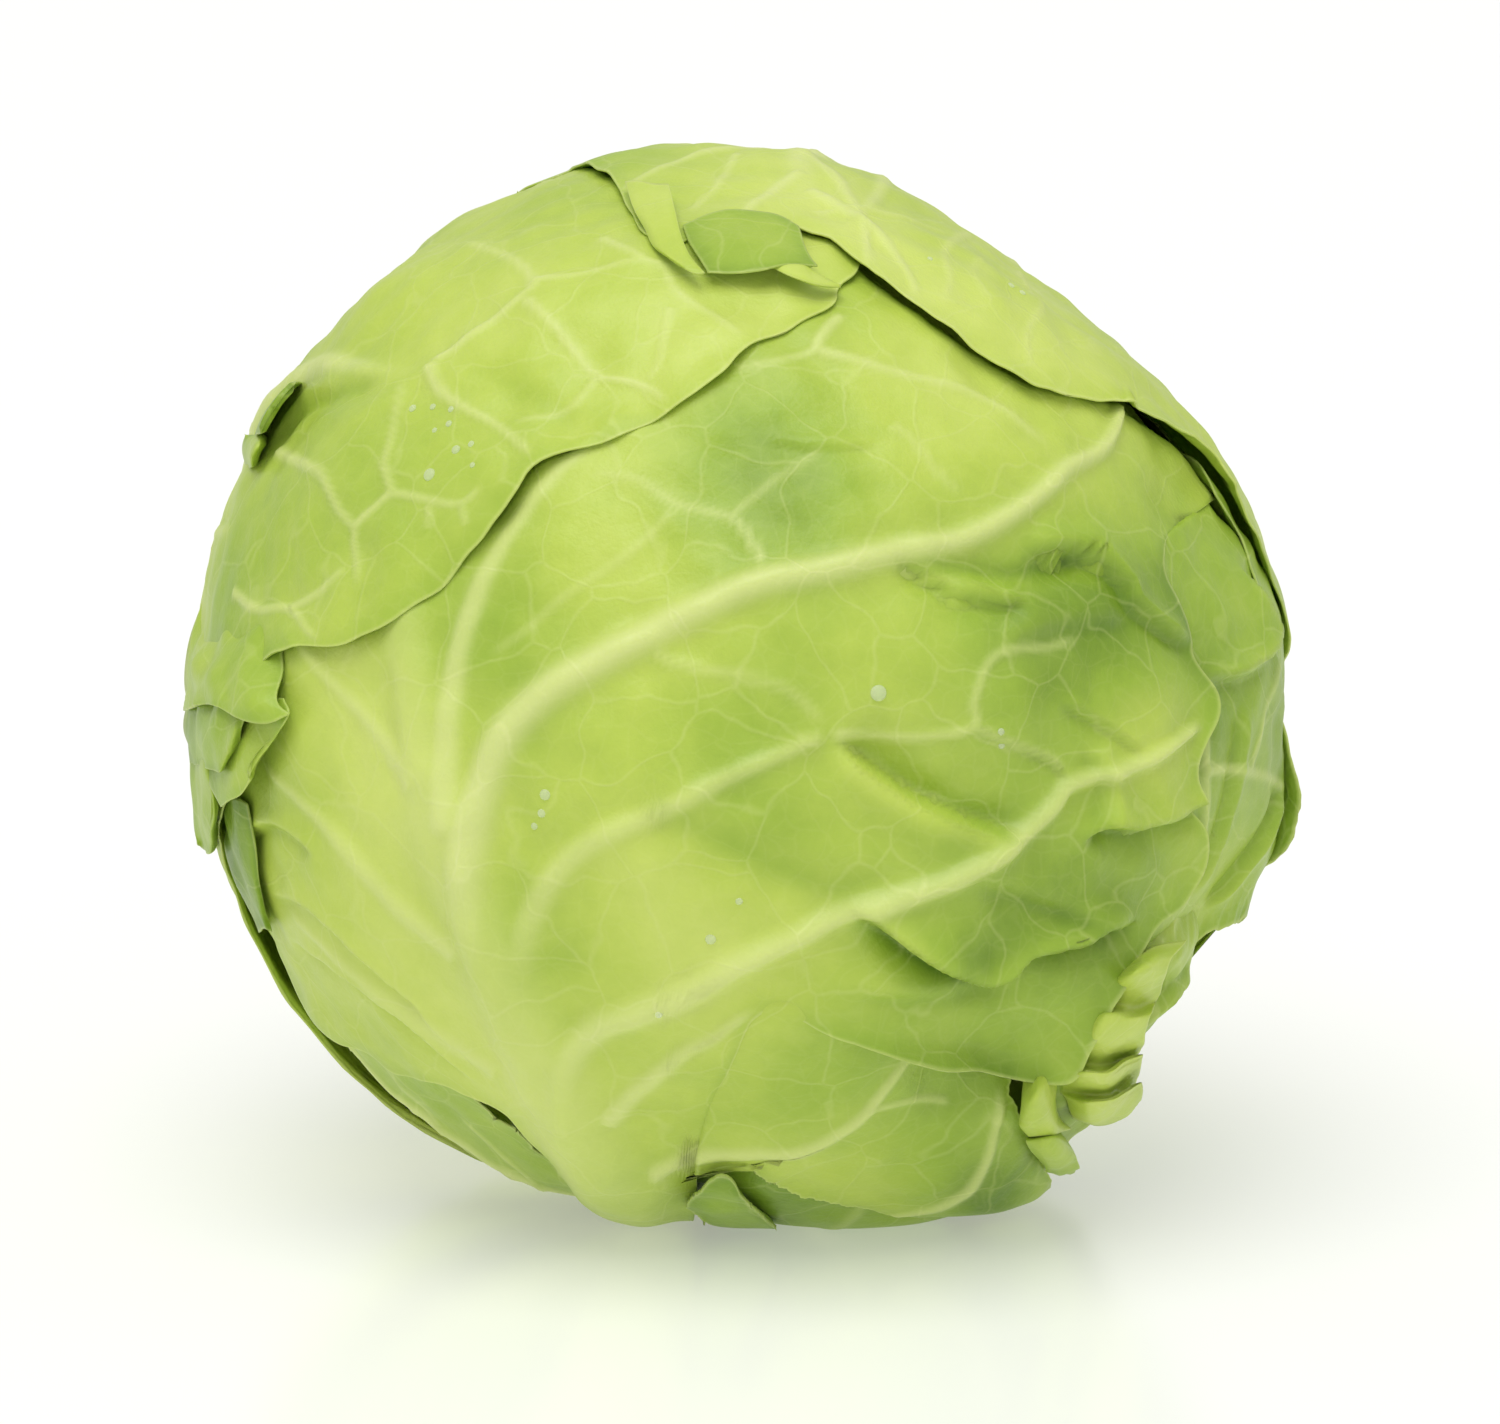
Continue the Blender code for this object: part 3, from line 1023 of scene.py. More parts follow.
@dataclass
class DrapedFlap:
    """A folded or rolled piece of a leaf, laid through a net of points.

    Points are millimetres to the right of, above and in front of the head's centre, along the front chart's
    axes.
    """

    name: str
    leaf: str  # the CAD node that it is part of
    net: tuple[tuple[tuple[float, float, float], ...], ...]
    tone: float = 0.5
    thickness: float = 0.8
    wave: float = 0.25
    seed: int = 3
    grid: int = 61
    stand: float = 8.0  # millimetres that it may stand off the head's form
    across: float = 30.0  # its usual width in millimetres, for how far in the rim's marks reach

    def sheet(self, head: HeadForm) -> Array:
        """A grid through the net: curves along its rows, then across them.

        What stands off the head by x is eased to stand tanh(x / stand).

        Args:
            head: the head's form.

        Returns:
            The grid's points, in millimetres.
        """
        rows = np.asarray(self.net, float)
        rows = self.resample(rows.transpose(1, 0, 2)).transpose(1, 0, 2)
        rows = self.resample(rows)
        front, right, up = FRONT.axes()
        points = rows[..., :1] * right + rows[..., 1:2] * up + rows[..., 2:] * front
        away = points / np.linalg.norm(points, axis=-1, keepdims=True)
        radii = np.linalg.norm(points, axis=-1)
        over = np.maximum(radii - head.radius(away) - 1.0, 0.0)
        radii += self.stand * np.tanh(over / self.stand) - over + self.wave * ripple(away, 9.0, self.seed)
        return away * radii[..., None] + head.centre()

    def resample(self, rows: Array) -> Array:
        """The first axis drawn as smooth curves, with grid points on each.

        Args:
            rows: points, whose first axis runs along the curves.

        Returns:
            The points, with more along the first axis.
        """
        smooth_rows = spline(rows.reshape(len(rows), -1), closed=False, steps=12)
        places = np.linspace(0.0, len(smooth_rows) - 1.0, self.grid)
        low = np.minimum(places.astype(int), len(smooth_rows) - 2)
        mixed = smooth_rows[low] + (smooth_rows[low + 1] - smooth_rows[low]) * (places - low)[:, None]
        return mixed.reshape(self.grid, *rows.shape[1:])

    def build(self, head: HeadForm, finish: bpy.types.Material) -> bpy.types.Object:
        """The flap as a closed shell, thin at its rim.

        Args:
            head: the head's form.
            finish: its material.

        Returns:
            The piece.
        """
        points = self.sheet(head)
        if (grid_normals(points) * (points - head.centre())).sum() < 0.0:
            points = points[::-1]
        edge = np.minimum(np.arange(self.grid), np.arange(self.grid)[::-1]) / (self.grid - 1)
        inside = np.minimum(edge[:, None], edge[None, :]) * self.across
        headings = (points - head.centre()) / np.linalg.norm(points - head.centre(), axis=-1, keepdims=True)
        marks = Drawing(FRONT, tone=self.tone, seed=self.seed).marks(headings, inside)
        thickness = self.thickness * (0.4 + 0.6 * smooth(inside, 0.0, 2.0))
        mesh = shell_mesh(self.name, points, thickness, 3, marks)
        return add_piece(self.name, mesh, finish, (self.leaf,))


# ---------------------------------------------------------------- the leaves of this head


def pinnate(midrib: tuple[Pair, ...], pairs: int, spread: float, lengths: Pair, width: float,
            height: float) -> tuple[Rib, ...]:
    """A midrib and its side ribs: each leaves at the spread angle and bends towards the tip.

    Args:
        midrib: its path on the chart.
        pairs: side ribs on each side.
        spread: angle between the midrib and a side rib where it leaves, in degrees.
        lengths: lengths of the first and last side ribs, in degrees of the chart.
        width: half-width of the midrib at its base.
        height: height of the midrib at its base.

    Returns:
        The ribs.
    """
    line = spline(midrib, closed=False, steps=12)
    ribs = [Rib(midrib, (width, width * 0.22), (height, height * 0.2))]
    for k in range(pairs):
        share = 0.18 + 0.7 * k / max(pairs - 1, 1)
        for side in (-1, 1):
            at = int((share + 0.03 * side) * (len(line) - 2))
            start, ahead = line[at], line[at + 1] - line[at]
            ahead = ahead / np.hypot(*ahead)
            size = lengths[0] + (lengths[1] - lengths[0]) * k / max(pairs - 1, 1)
            points = [start]
            for step in range(1, 5):
                bend = math.radians(side * spread * (1.0 - 0.13 * step))
                turned = (ahead[0] * math.cos(bend) - ahead[1] * math.sin(bend),
                          ahead[0] * math.sin(bend) + ahead[1] * math.cos(bend))
                points.append(points[-1] + np.array(turned) * size / 4)
            thin = 1.0 - 0.5 * share
            ribs.append(Rib(tuple(map(tuple, points)), (width * 0.3 * thin, width * 0.1),
                            (height * 0.35 * thin, height * 0.08), 0.8))
    return tuple(ribs)


def front_drawing() -> Drawing:
    """The large front leaf's drawing: a broad midrib on the left, and side ribs that fan to the right.

    The lobe that is torn from its lower edge has the same drawing.

    Returns:
        The drawing.
    """
    ribs = (
        Rib(((-14, -88), (-16, -74), (-18, -62), (-22, -46), (-27.5, -30), (-31, -19), (-34, -7), (-36, 5),
             (-38, 17), (-40, 30)), (11.0, 2.0), (4.4, 0.8), 0.42),
        Rib(((-31, -16), (-30.5, -1), (-27.5, 10), (-23, 18), (-18, 24), (-10, 31)), (2.4, 1.0), (0.9, 0.2),
            0.8),
        Rib(((-31, -30), (-38, -25), (-48, -16.5), (-60, -8)), (2.2, 0.9), (0.9, 0.3), 0.6),
        Rib(((-35, -11), (-40, -5), (-46.5, 1), (-54, 8)), (1.8, 0.8), (0.7, 0.2), 0.6),
        Rib(((-28.5, -46), (-36, -42), (-48, -34), (-60, -28)), (2.4, 0.9), (0.8, 0.3), 0.5),
        Rib(((-24, -44), (-27.5, -33), (-29, -22), (-28, -14), (-25, -6), (-20.5, -1), (-14, 3), (-4, 8),
             (2, 10.5), (9, 12), (16, 14), (23, 15.5), (28, 18), (33, 21.5), (37, 25), (43, 28.5),
             (47, 33.5), (50, 40)), (3.6, 1.1), (2.7, 1.5), fade=(0.25, 0.05)),
        Rib(((2.5, 12), (1, 15), (-1, 17.5), (-6.5, 19), (-10.5, 21.5), (-16, 22.5)), (0.8, 0.4),
            (0.4, 0.1), 0.7),
        Rib(((-6.5, 18.5), (-11, 14), (-18.5, 9), (-22, 6), (-27, 3)), (0.6, 0.4), (0.2, 0.1), 0.45),
        Rib(((-1, 17.5), (4.5, 22), (9, 25)), (0.6, 0.3), (0.3, 0.1), 0.5),
        Rib(((-9, 5.5), (-7.5, 3), (-2, 1.5), (4.5, 0), (9, -4)), (0.9, 0.5), (0.4, 0.3), 0.55),
        Rib(((-22, -40), (-23.5, -30), (-21, -22), (-15.5, -16), (-7, -12), (-1.5, -9), (4.5, -6.5),
             (9, -4.5)), (2.8, 1.0), (1.4, 1.0), 0.65, fade=(0.4, 0.03)),
        Rib(((9, -4.5), (14, -5), (19, -5), (24, -4), (24, -1), (26.5, 3.5), (33.5, 4.5), (38, 6)),
            (0.9, 0.5), (0.6, 0.3), 0.7),
        Rib(((24, -4), (29, -6), (33.5, -7.5), (35.5, -9.5)), (0.7, 0.5), (0.3, 0.2), 0.6),
        Rib(((-19, -60), (-20.5, -50), (-19, -42), (-16, -38), (-11.5, -35.5), (-4.5, -32), (0, -29),
             (6, -26), (11, -23.5), (16.5, -21.5), (21, -20), (26.5, -17.5), (30.5, -15.5), (34, -12.5),
             (36, -10.5), (42, -9), (47, -7.5), (56, -4)), (3.0, 1.1), (2.6, 1.6), 0.8, fade=(0.25, 0.03)),
        Rib(((11.5, 42), (9.5, 39), (8.5, 36.5), (12, 35.5), (16.5, 34.5), (24.5, 33.5), (28.5, 32.5),
             (33, 29.5), (36, 27)), (1.0, 0.6), (0.5, 0.3), 0.8),
        Rib(((8.5, 36.5), (4.5, 35), (-0.5, 34)), (0.8, 0.4), (0.4, 0.1), 0.6),
        Rib(((16, 28), (18, 26.5), (20.5, 23), (23.5, 20)), (0.6, 0.4), (0.3, 0.1), 0.55),
        Rib(((-16, -52), (-10.5, -46), (-6.5, -41), (-2, -37.5), (2, -34)), (2.2, 0.8), (0.9, 0.4), 0.8),
        Rib(((-12, -62), (-4, -60), (2, -58.5), (7, -57.5), (11.5, -54.5), (15.5, -51), (18.5, -46.5),
             (23, -42)), (2.4, 0.9), (1.1, 0.5), 0.85),
        Rib(((15.5, -51), (21, -51), (27, -52.5)), (0.8, 0.5), (0.4, 0.2), 0.7),
        Rib(((18, -74), (23.5, -71), (28, -67.5), (30.5, -64), (32, -59), (33, -54), (33.5, -50)),
            (1.6, 0.9), (0.8, 0.5), 0.85),
    )
    folds = (
        Fold(((9, -5), (14.5, -9), (19.5, -12), (25.5, -14.5), (31, -16)), -3.2, -2.2, 5.5, 0.2),
        Fold(((11, -22), (18, -27.5), (23, -30.5), (27, -32), (30, -31), (32, -28.8), (38, -28.5),
              (42.5, -27.5), (49, -28.5)), 3.8, 4.4, 4.4, 0.17),
        Fold(((37.5, -17.5), (40.5, -15.5), (45.5, -16), (52, -15), (59, -13)), 2.6, 2.6, 4.2, 0.17),
        Fold(((16, 13.5), (22, 10.2), (25, 9.5), (31, 8.8)), 1.9, 1.2, 3.4, 0.25),
        Fold(((14, 14), (24, 13.5), (32, 13.8), (40, 16)), -0.4, 2.3, 4.5, 0.8),
        Fold(((30, 15), (38.5, 15), (43, 12), (44.5, 9.5), (50, 6.5), (55, 4.5)), 2.2, 1.6, 4.0, 0.35),
        Fold(((23.5, -4), (30.5, -6.5), (35, -9), (35.5, -11)), 0.5, 0.6, 1.8, 0.3),
        Fold(((23, -19.5), (31, -22.5), (40, -26), (48, -28)), 1.0, 1.0, 4.0, 0.6),
        Fold(((11, -32), (22.5, -34), (34, -34)), 0.8, 0.8, 4.0, 0.6),
        Fold(((34, -1.5), (40, -4), (45.5, -7.5)), 0.9, 0.9, 2.6, 0.4),
        Fold(((38, -6.5), (40.5, -11), (39.5, -16)), 1.5, 0.9, 4.0, 0.4),
        Fold(((-12, -9), (0, -15), (8, -19), (16, -20)), 0.8, 1.2, 7.0, 0.7),
        Fold(((26, 4), (36, 7), (46, 8)), 1.0, 0.8, 5.0, 0.5),
        Fold(((2, 26), (8, 25), (15, 25.5)), 0.5, 0.4, 2.2, 0.3),
        Fold(((-62, -34), (-50, -36), (-40, -42), (-32, -50)), 1.0, 0.8, 3.0, 0.35),
        Fold(((-64, -28), (-54, -27), (-44, -33), (-34, -44)), 0.9, 0.7, 3.0, 0.35),
        Fold(((-66, -20), (-58, -17), (-50, -20)), 1.0, 0.8, 3.0, 0.4),
    )
    lumps = (
        Lump((-2, -20), 1.4, 9),
        Lump((22, -27), 1.5, 5),
        Lump((38, -33.5), 2.2, 6),
        Lump((47, -0.5), 1.2, 5),
        Lump((48.5, -10.5), 1.8, 5),
        Lump((30, -1), 1.6, 6),
        Lump((17, -6.5), -0.8, 5),
        Lump((18, 4), 1.2, 7),
        Lump((20, 24), 1.0, 14),
        Lump((-10, -52), -2.0, 12),
        Lump((10, -33), 1.2, 7),
        Lump((57, 24), -2.0, 5),
    )
    # Patches of tone, partly the leaf's own (paler at the midrib's base) and partly painted light: deeper
    # tone as painted shade in hollows, in the deep fold, under the torn margin and towards the right and
    # lower right; paler tone as painted highlight on a lit bulge.
    tone_and_painted_light = (
        Lump((-26, -40), -0.24, 22),
        Lump((-34, -8), -0.16, 16),
        Lump((34, 4), 0.26, 12),
        Lump((2, -14), 0.14, 8),
        Lump((36, -20), 0.22, 18),
        Lump((22, 32), -0.14, 16),
        Lump((2, 21), 0.13, 10),
        # painted highlight on a lit bulge
        Lump((46, -5), -0.3, 8),
        # painted shade in the deep fold
        Lump((24, -30), 0.22, 5),
        Lump((9, -10), -0.22, 7),
        Lump((34, -27), 0.24, 15),
        Lump((50, 10), 0.2, 14),
        Lump((-54, -34), -0.1, 14),
        Lump((-6, -16), -0.05, 8),
        Lump((17, -51), -0.1, 6),
        Lump((24, -58), 0.12, 12),
        Lump((33, -68), 0.5, 9),
        # painted shadow under the torn margin
        Lump((31, -46), 0.22, 6),
    )
    return Drawing(FRONT, ribs, folds, lumps, tone_and_painted_light, 0.44, 0.5, 0.16, 21)


def front_leaf(drawing: Drawing) -> WrapperLeaf:
    """The large front leaf, whose lower right margin is torn and stands off.

    Args:
        drawing: what is drawn on it.

    Returns:
        The leaf.
    """
    outline = Outline(((44, 52), (58, 47), (70, 38), (72, 31), (66, 26.5), (59, 22.5), (53.5, 19),
                       (51.5, 15.5), (52, 12), (54, 7), (54.5, 3), (57.5, -0.5), (57, -4), (55, -9),
                       (55.5, -14), (58.5, -20), (57, -25), (52, -28.5), (48, -32), (43, -37),
                       (40.5, -41.5), (39.5, -46.5), (33.5, -46), (27, -43.5), (20, -41), (11.5, -38),
                       (5.5, -35.5), (1.5, -36), (-1, -43), (-4, -54), (-6, -66), (-8, -85), (-17, -88),
                       (-20.5, -76), (-22, -68), (-24, -62.5), (-27, -59), (-30, -53.5), (-35, -52),
                       (-41, -51.5), (-48, -53), (-52, -51.2), (-58.5, -50.5), (-64, -48), (-68, -44),
                       (-69, -38), (-66, -30), (-65, -20), (-66, -10), (-60, 12), (-46, 32), (-26, 48),
                       (0, 60), (26, 59)), (-10, -2), 0.12, 11)
    return WrapperLeaf("front_leaf", drawing, outline, 0.0, 1.8, 295,
                       slopes=(Fold(((12, -20), (4, -33), (-2, -48), (-8, -64), (-12, -86)), -1.9, 0.0, 8.0,
                                    0.8),),
                       lifts=(Lift((42, -42), 12, 9.0, 4.6), Lift((56, -22), 8, 6.0, 1.6),
                              Lift((57, -2), 7, 6.0, 1.8), Lift((22, -42), 10, 7.0, 3.2)))


def left_leaf() -> WrapperLeaf:
    """The leaf over the upper left, with a net of thin ribs and a crumpled lower edge.

    Returns:
        The leaf.
    """
    ribs = (
        Rib(((0, -86), (-4, -55), (-9, -25), (-9, 0), (-2, 16), (6, 25), (12, 29), (21, 32.5), (30, 35.5),
             (34.5, 39)), (8.0, 1.1), (3.0, 0.8), 0.9),
        Rib(((34.5, 39), (39, 37.5), (44.5, 37.5), (50, 38), (57, 37)), (1.1, 0.5), (0.7, 0.3), 0.9),
        Rib(((34.5, 39), (35.5, 42), (36, 46.5), (36, 51), (34.5, 53), (26.5, 53), (14, 50)), (1.0, 0.5),
            (0.6, 0.3), 0.9),
        Rib(((34.5, 53), (36.5, 55.5), (37.5, 59.5), (39, 64)), (0.8, 0.5), (0.4, 0.2), 0.8),
        Rib(((36.5, 51), (42, 51), (47, 50.5), (51.5, 50), (54.5, 51.5), (57.5, 52.5), (61.5, 52)),
            (0.9, 0.5), (0.5, 0.2), 0.85),
        Rib(((51.5, 50), (53, 47), (53.5, 44), (50.5, 39)), (0.6, 0.4), (0.3, 0.1), 0.6),
        Rib(((18.5, 20.5), (25.5, 21.5), (33, 22.5), (36, 22), (39.5, 20.5), (43, 19.5), (44, 18),
             (46.5, 15.5), (48, 13)), (1.1, 0.6), (0.6, 0.3), 0.85),
        Rib(((43, 19.5), (44, 22.5), (45, 25), (49.5, 26.5), (53.5, 28), (54.5, 31.5)), (0.8, 0.5),
            (0.4, 0.2), 0.8),
        Rib(((45, 25), (41.5, 27.5), (39.5, 30), (35.5, 34), (33, 36)), (0.8, 0.5), (0.4, 0.2), 0.7),
        Rib(((50, 26), (52, 23.5)), (0.6, 0.4), (0.3, 0.1), 0.6),
        Rib(((53.5, 28), (56, 26)), (0.6, 0.4), (0.3, 0.1), 0.6),
        Rib(((38.5, 8), (42, 11), (45, 15.5)), (0.8, 0.5), (0.4, 0.2), 0.8),
        Rib(((26, 6), (32.5, 6), (38.5, 8), (43.5, 7), (46, 6.5)), (1.0, 0.5), (0.4, 0.2), 0.8),
        Rib(((30, 62), (38.5, 63.5), (40.5, 65), (45, 64), (50.5, 65), (57, 65.5)), (0.8, 0.5), (0.4, 0.2),
            0.8),
        Rib(((47.5, 62), (51, 59), (54.5, 56), (56.5, 52.5)), (0.6, 0.4), (0.3, 0.1), 0.6),
        Rib(((-6, -40), (-24, -30), (-42, -14), (-56, 2)), (2.6, 0.8), (1.1, 0.3), 0.8),
        Rib(((-8, -20), (-24, -6), (-40, 14), (-50, 32)), (2.2, 0.8), (0.9, 0.3), 0.8),
        Rib(((-9, 2), (-20, 18), (-30, 38), (-34, 56)), (1.8, 0.7), (0.8, 0.3), 0.8),
        Rib(((-2, 16), (-8, 34), (-10, 54), (-4, 72)), (1.6, 0.6), (0.7, 0.3), 0.8),
        Rib(((-5, -48), (2, -34), (6, -18), (12, -8)), (2.0, 0.8), (0.9, 0.3), 0.8),
        Rib(((-9, -8), (0, 2), (10, 8), (20, 11)), (1.6, 0.8), (0.8, 0.3), 0.8),
    )
    folds = (
        Fold(((14, 20), (17, 26), (24, 30.8), (30, 34.6)), 1.2, 1.1, 3.6, 0.75),
        Fold(((40, 44), (48, 44), (56, 45)), 0.5, 0.6, 6.0, 0.7),
    )
    # The paler patches high on the leaf are partly its own paleness and partly painted light where the light
    # from above falls.
    tone_and_painted_light = (
        Lump((48, 62), -0.28, 17),
        Lump((28, 74), -0.18, 16),
        Lump((44, 38), 0.12, 9),
        Lump((46, 20), 0.04, 14),
        Lump((0, -60), -0.3, 22),
        Lump((26, 2), 0.16, 12),
    )
    outline = Outline(((38, 88), (47.5, 81.5), (51.5, 78.5), (55, 72.5), (57, 66.5), (60.5, 59), (61.5, 54),
                       (61, 45.5), (58, 38), (58.5, 32), (58.5, 27), (57.5, 20.5), (55.5, 15), (53, 11),
                       (48, 7), (41.5, 4.5), (38, 2), (36, -2), (40, -4), (37, -9), (31, -15), (25, -19),
                       (19, -24), (16, -32), (14, -46), (11, -62), (7, -84), (-8, -86), (-20, -66),
                       (-34, -44), (-54, -20), (-64, 10), (-58, 42), (-42, 68), (-16, 88), (14, 97)),
                      (6, 20), 0.14, 12)
    drawing = Drawing(LEFT, ribs, folds, (), tone_and_painted_light, 0.42, 0.5, 0.16, 31)
    return WrapperLeaf("left_leaf", drawing, outline, 1.4, 1.8, 265, lifts=(Lift((33, -8), 13, 10.0, 2.0),))


def top_leaf() -> WrapperLeaf:
    """The leaf that comes up the back and over the crown, and covers the upper right.

    Returns:
        The leaf.
    """
    ribs = pinnate(((0, -112), (-3, -80), (-6, -45), (-8, -10), (-9, 25), (-7, 50), (-12, 62), (-20, 70)),
                   6, 46, (52, 26), 8.5, 3.0)
    ribs += (
        Rib(((-1, 58), (-3, 68), (-2.5, 76)), (0.8, 0.5), (0.4, 0.2), 0.8),
        Rib(((-17.5, 69), (-21.5, 62.5), (-30, 52)), (0.7, 0.4), (0.3, 0.2), 0.7),
        Rib(((-28, 44), (-30.5, 51.5), (-34, 60.5), (-38.5, 64.5), (-41, 69)), (0.9, 0.5), (0.4, 0.2),
            0.85),
        Rib(((-34, 38), (-39, 46), (-46, 51.5), (-49.5, 58), (-55, 61)), (0.9, 0.5), (0.4, 0.2), 0.85),
        Rib(((-36, 54), (-39, 60), (-44, 61.5)), (0.6, 0.4), (0.3, 0.1), 0.6),
    )
    outline = Outline(((22, 54), (16, 62), (12, 67), (7.5, 74), (3, 79.5), (-0.5, 82), (-5, 82), (-8, 78.5),
                       (-12, 76), (-16.5, 74), (-22, 73), (-30, 73), (-39.5, 72), (-47, 69), (-55, 63),
                       (-60, 54), (-62, 45), (-64, 35), (-66, 27), (-69, 22), (-71, 12), (-70, -8),
                       (-58, -36), (-38, -72), (-22, -96), (-12, -110), (2, -112), (16, -96), (34, -66),
                       (48, -36), (54, -6), (48, 20), (34, 40)), (-8, 4), 0.12, 13)
    # The paler patches near the crown are partly the leaf's own paleness and partly painted light where the
    # light from above falls.
    tone_and_painted_light = (Lump((-20, 72), -0.16, 15), Lump((-46, 58), -0.24, 16), Lump((0, -80), -0.3, 24))
    drawing = Drawing(CROWN, ribs, (), (), tone_and_painted_light, 0.34, 0.5, 0.16, 41)
    return WrapperLeaf("top_leaf", drawing, outline, 2.8, 0.2, 295,
                       lifts=(Lift((-66, 28), 12, 7.0, 2.0), Lift((-40, 72), 10, 6.0, 0.8)))


def right_rear_leaf() -> WrapperLeaf:
    """The leaf whose edge shows under the top leaf at the right.

    Returns:
        The leaf.
    """
    ribs = pinnate(((6, -76), (10, -50), (10, -20), (6, 6), (2, 26)), 5, 48, (26, 14), 6.0, 2.2)
    outline = Outline(((-16, 36), (-30, 31), (-33, 26), (-31, 20), (-34, 14), (-32, 4), (-27, -8),
                       (-26, -18), (-20, -32), (-12, -50), (-5, -72), (2, -78), (12, -74), (26, -56),
                       (38, -32), (42, -4), (36, 22), (18, 38), (0, 42)), (6, -8), 0.3, 14)
    drawing = Drawing(RIGHT_REAR, ribs, tone=0.66, seed=51)
    return WrapperLeaf("right_rear_leaf", drawing, outline, 1.4, 2.8, 163,
                       slopes=(Lump((-30, -15), 7.0, 8),), lifts=(Lift((-30, -10), 12, 8.0, 2.0),))


def rear_left_leaf() -> WrapperLeaf:
    """The leaf that shows low at the back, between the top leaf and the left leaf.

    Returns:
        The leaf.
    """
    ribs = pinnate(((-4, -60), (-3, -36), (-2, -10), (0, 14)), 5, 48, (30, 16), 6.0, 2.2)
    outline = Outline(((-38, 10), (-42, -10), (-36, -32), (-20, -50), (-10, -60), (-1, -60), (6, -50),
                       (18, -34), (36, -8), (34, 14), (20, 30), (-4, 34), (-26, 26)), (0, -5), 0.3, 15)
    return WrapperLeaf("rear_left_leaf", Drawing(REAR_LEFT, ribs, tone=0.55, seed=61), outline, 0.0, 4.6,
                       133)


def right_leaf() -> WrapperLeaf:
    """The leaf under the front leaf's right edge, whose own lower edge stands free.

    Returns:
        The leaf.
    """
    ribs = (
        Rib(((-23, 8), (-22.5, 0), (-21, -10), (-19, -20)), (1.1, 0.8), (0.7, 0.4), 0.7),
        Rib(((-23, -2), (-15, -3.5), (-6, -6), (3, -9)), (1.0, 0.7), (0.5, 0.3), 0.7),
        Rib(((-12, -4), (-8, 2), (0, 6)), (0.9, 0.6), (0.4, 0.2), 0.6),
    )
    folds = (
        Fold(((-8, 18), (-3.5, 9), (-12, 6.5), (-22, 7.5)), -1.2, -1.6, 4.0, 0.2),
        Fold(((1, -8), (-6.5, -16), (-11, -21)), 1.4, 1.4, 3.2, 0.3),
        Fold(((-14, 4), (-16, -6), (-18, -18)), 1.0, 1.2, 3.5, 0.35),
    )
    outline = Outline(((-37, 28), (-20, 37), (0, 36), (17, 28), (24, 10), (25, -10), (24, -34), (22, -56),
                       (18, -71), (10, -70), (9, -50), (8, -36), (6, -27), (0, -23), (-6, -22.5),
                       (-12, -24.5), (-17, -23.5), (-29, -22), (-38, -12), (-41, 8)), (2, 6), 0.25, 16)
    # Painted shade: the deeper patch lies next to the front leaf's overhanging margin; the leaf's deep base
    # tone is partly its own green and partly painted shade.
    tone_and_painted_light = (Lump((-20, 4), 0.25, 8), Lump((-4, -12), -0.15, 10))
    drawing = Drawing(RIGHT, ribs, folds, (), tone_and_painted_light, 0.68, 0.6, seed=71)
    return WrapperLeaf("right_leaf", drawing, outline, -1.2, 5.0, 199,
                       slopes=(Lump((3, -19), 9.0, 11), Lump((0, 6), 2.5, 16)),
                       lifts=(Lift((-4, -24), 14, 8.0, 2.5),))


def left_under_leaf() -> WrapperLeaf:
    """The leaf under the front leaf's lower left edge.

    Returns:
        The leaf.
    """
    ribs = pinnate(((14, -60), (12, -44), (6, -26), (-2, -8)), 4, 46, (20, 10), 3.6, 1.4)
    outline = Outline(((-13, 10), (-11, -2), (-9, -10), (-6, -19), (-1, -28), (4, -38), (6, -54), (12, -61),
                       (18, -57), (21, -44), (24, -28), (24, -10), (19, 8), (10, 17), (-5, 18)), (10, -14),
                      0.3, 17)
    return WrapperLeaf("left_under_leaf", Drawing(LOW_LEFT, ribs, tone=0.5, seed=81), outline, -1.2, 4.0,
                       163)


def lower_leaf(drawing: Drawing) -> WrapperLeaf:
    """The lobe under the front leaf's torn lower edge, joined to it at the base.

    Args:
        drawing: what is drawn on it.

    Returns:
        The leaf.
    """
    outline = Outline(((31, -36), (34, -42), (35, -47.5), (34.5, -51), (37, -57), (41, -64), (45.5, -74),
                       (43, -78), (39, -79.5), (33, -79), (22.5, -73), (15, -70), (8, -67.5), (4, -64.5),
                       (0, -61.5), (-4, -62), (-9, -67), (-14, -67), (-16, -56), (-13, -46), (-8, -38),
                       (0, -31), (8, -27), (20, -27)), (14, -54), 0.15, 18)
    return WrapperLeaf("lower_leaf", drawing, outline, -0.7, 4.0, 199,
                       slopes=(Lump((36, -76), 5.5, 13), Lump((24, -45), -2.6, 11),
                               Lump((33, -44), -2.4, 8)), tuck=1.6)


def lower_right_leaf() -> WrapperLeaf:
    """The crumpled leaf below the front leaf's right edge.

    Returns:
        The leaf.
    """
    ribs = (Rib(((14, -30), (12, -16), (10, 0), (8, 16)), (1.2, 0.7), (0.5, 0.3), 0.5),)
    outline = Outline(((-6, 2), (-3, -4), (1, -10), (5, -17), (9, -25), (12, -33), (16, -39), (21, -36),
                       (23, -25), (25, -12), (26, 8), (20, 22), (6, 26), (-6, 20), (-9, 10)), (4, 8), 0.4,
                      19)
    folds = (
        Fold(((18, 12), (10, 10), (2, 8)), 1.6, 1.6, 3.6, 0.4),
        Fold(((20, 2), (11, 2), (2, 0)), 1.6, 1.6, 3.2, 0.4),
        Fold(((18, -8), (11, -7), (5, -8)), 1.4, 1.4, 3.0, 0.4),
    )
    drawing = Drawing(LOW_RIGHT, ribs, folds, tone=0.56, wave=0.8, wrinkle=0.35, seed=91)
    return WrapperLeaf("lower_right_leaf", drawing, outline, -2.0, 6.0, 163,
                       slopes=(Lump((16, 0), 5.0, 13),))


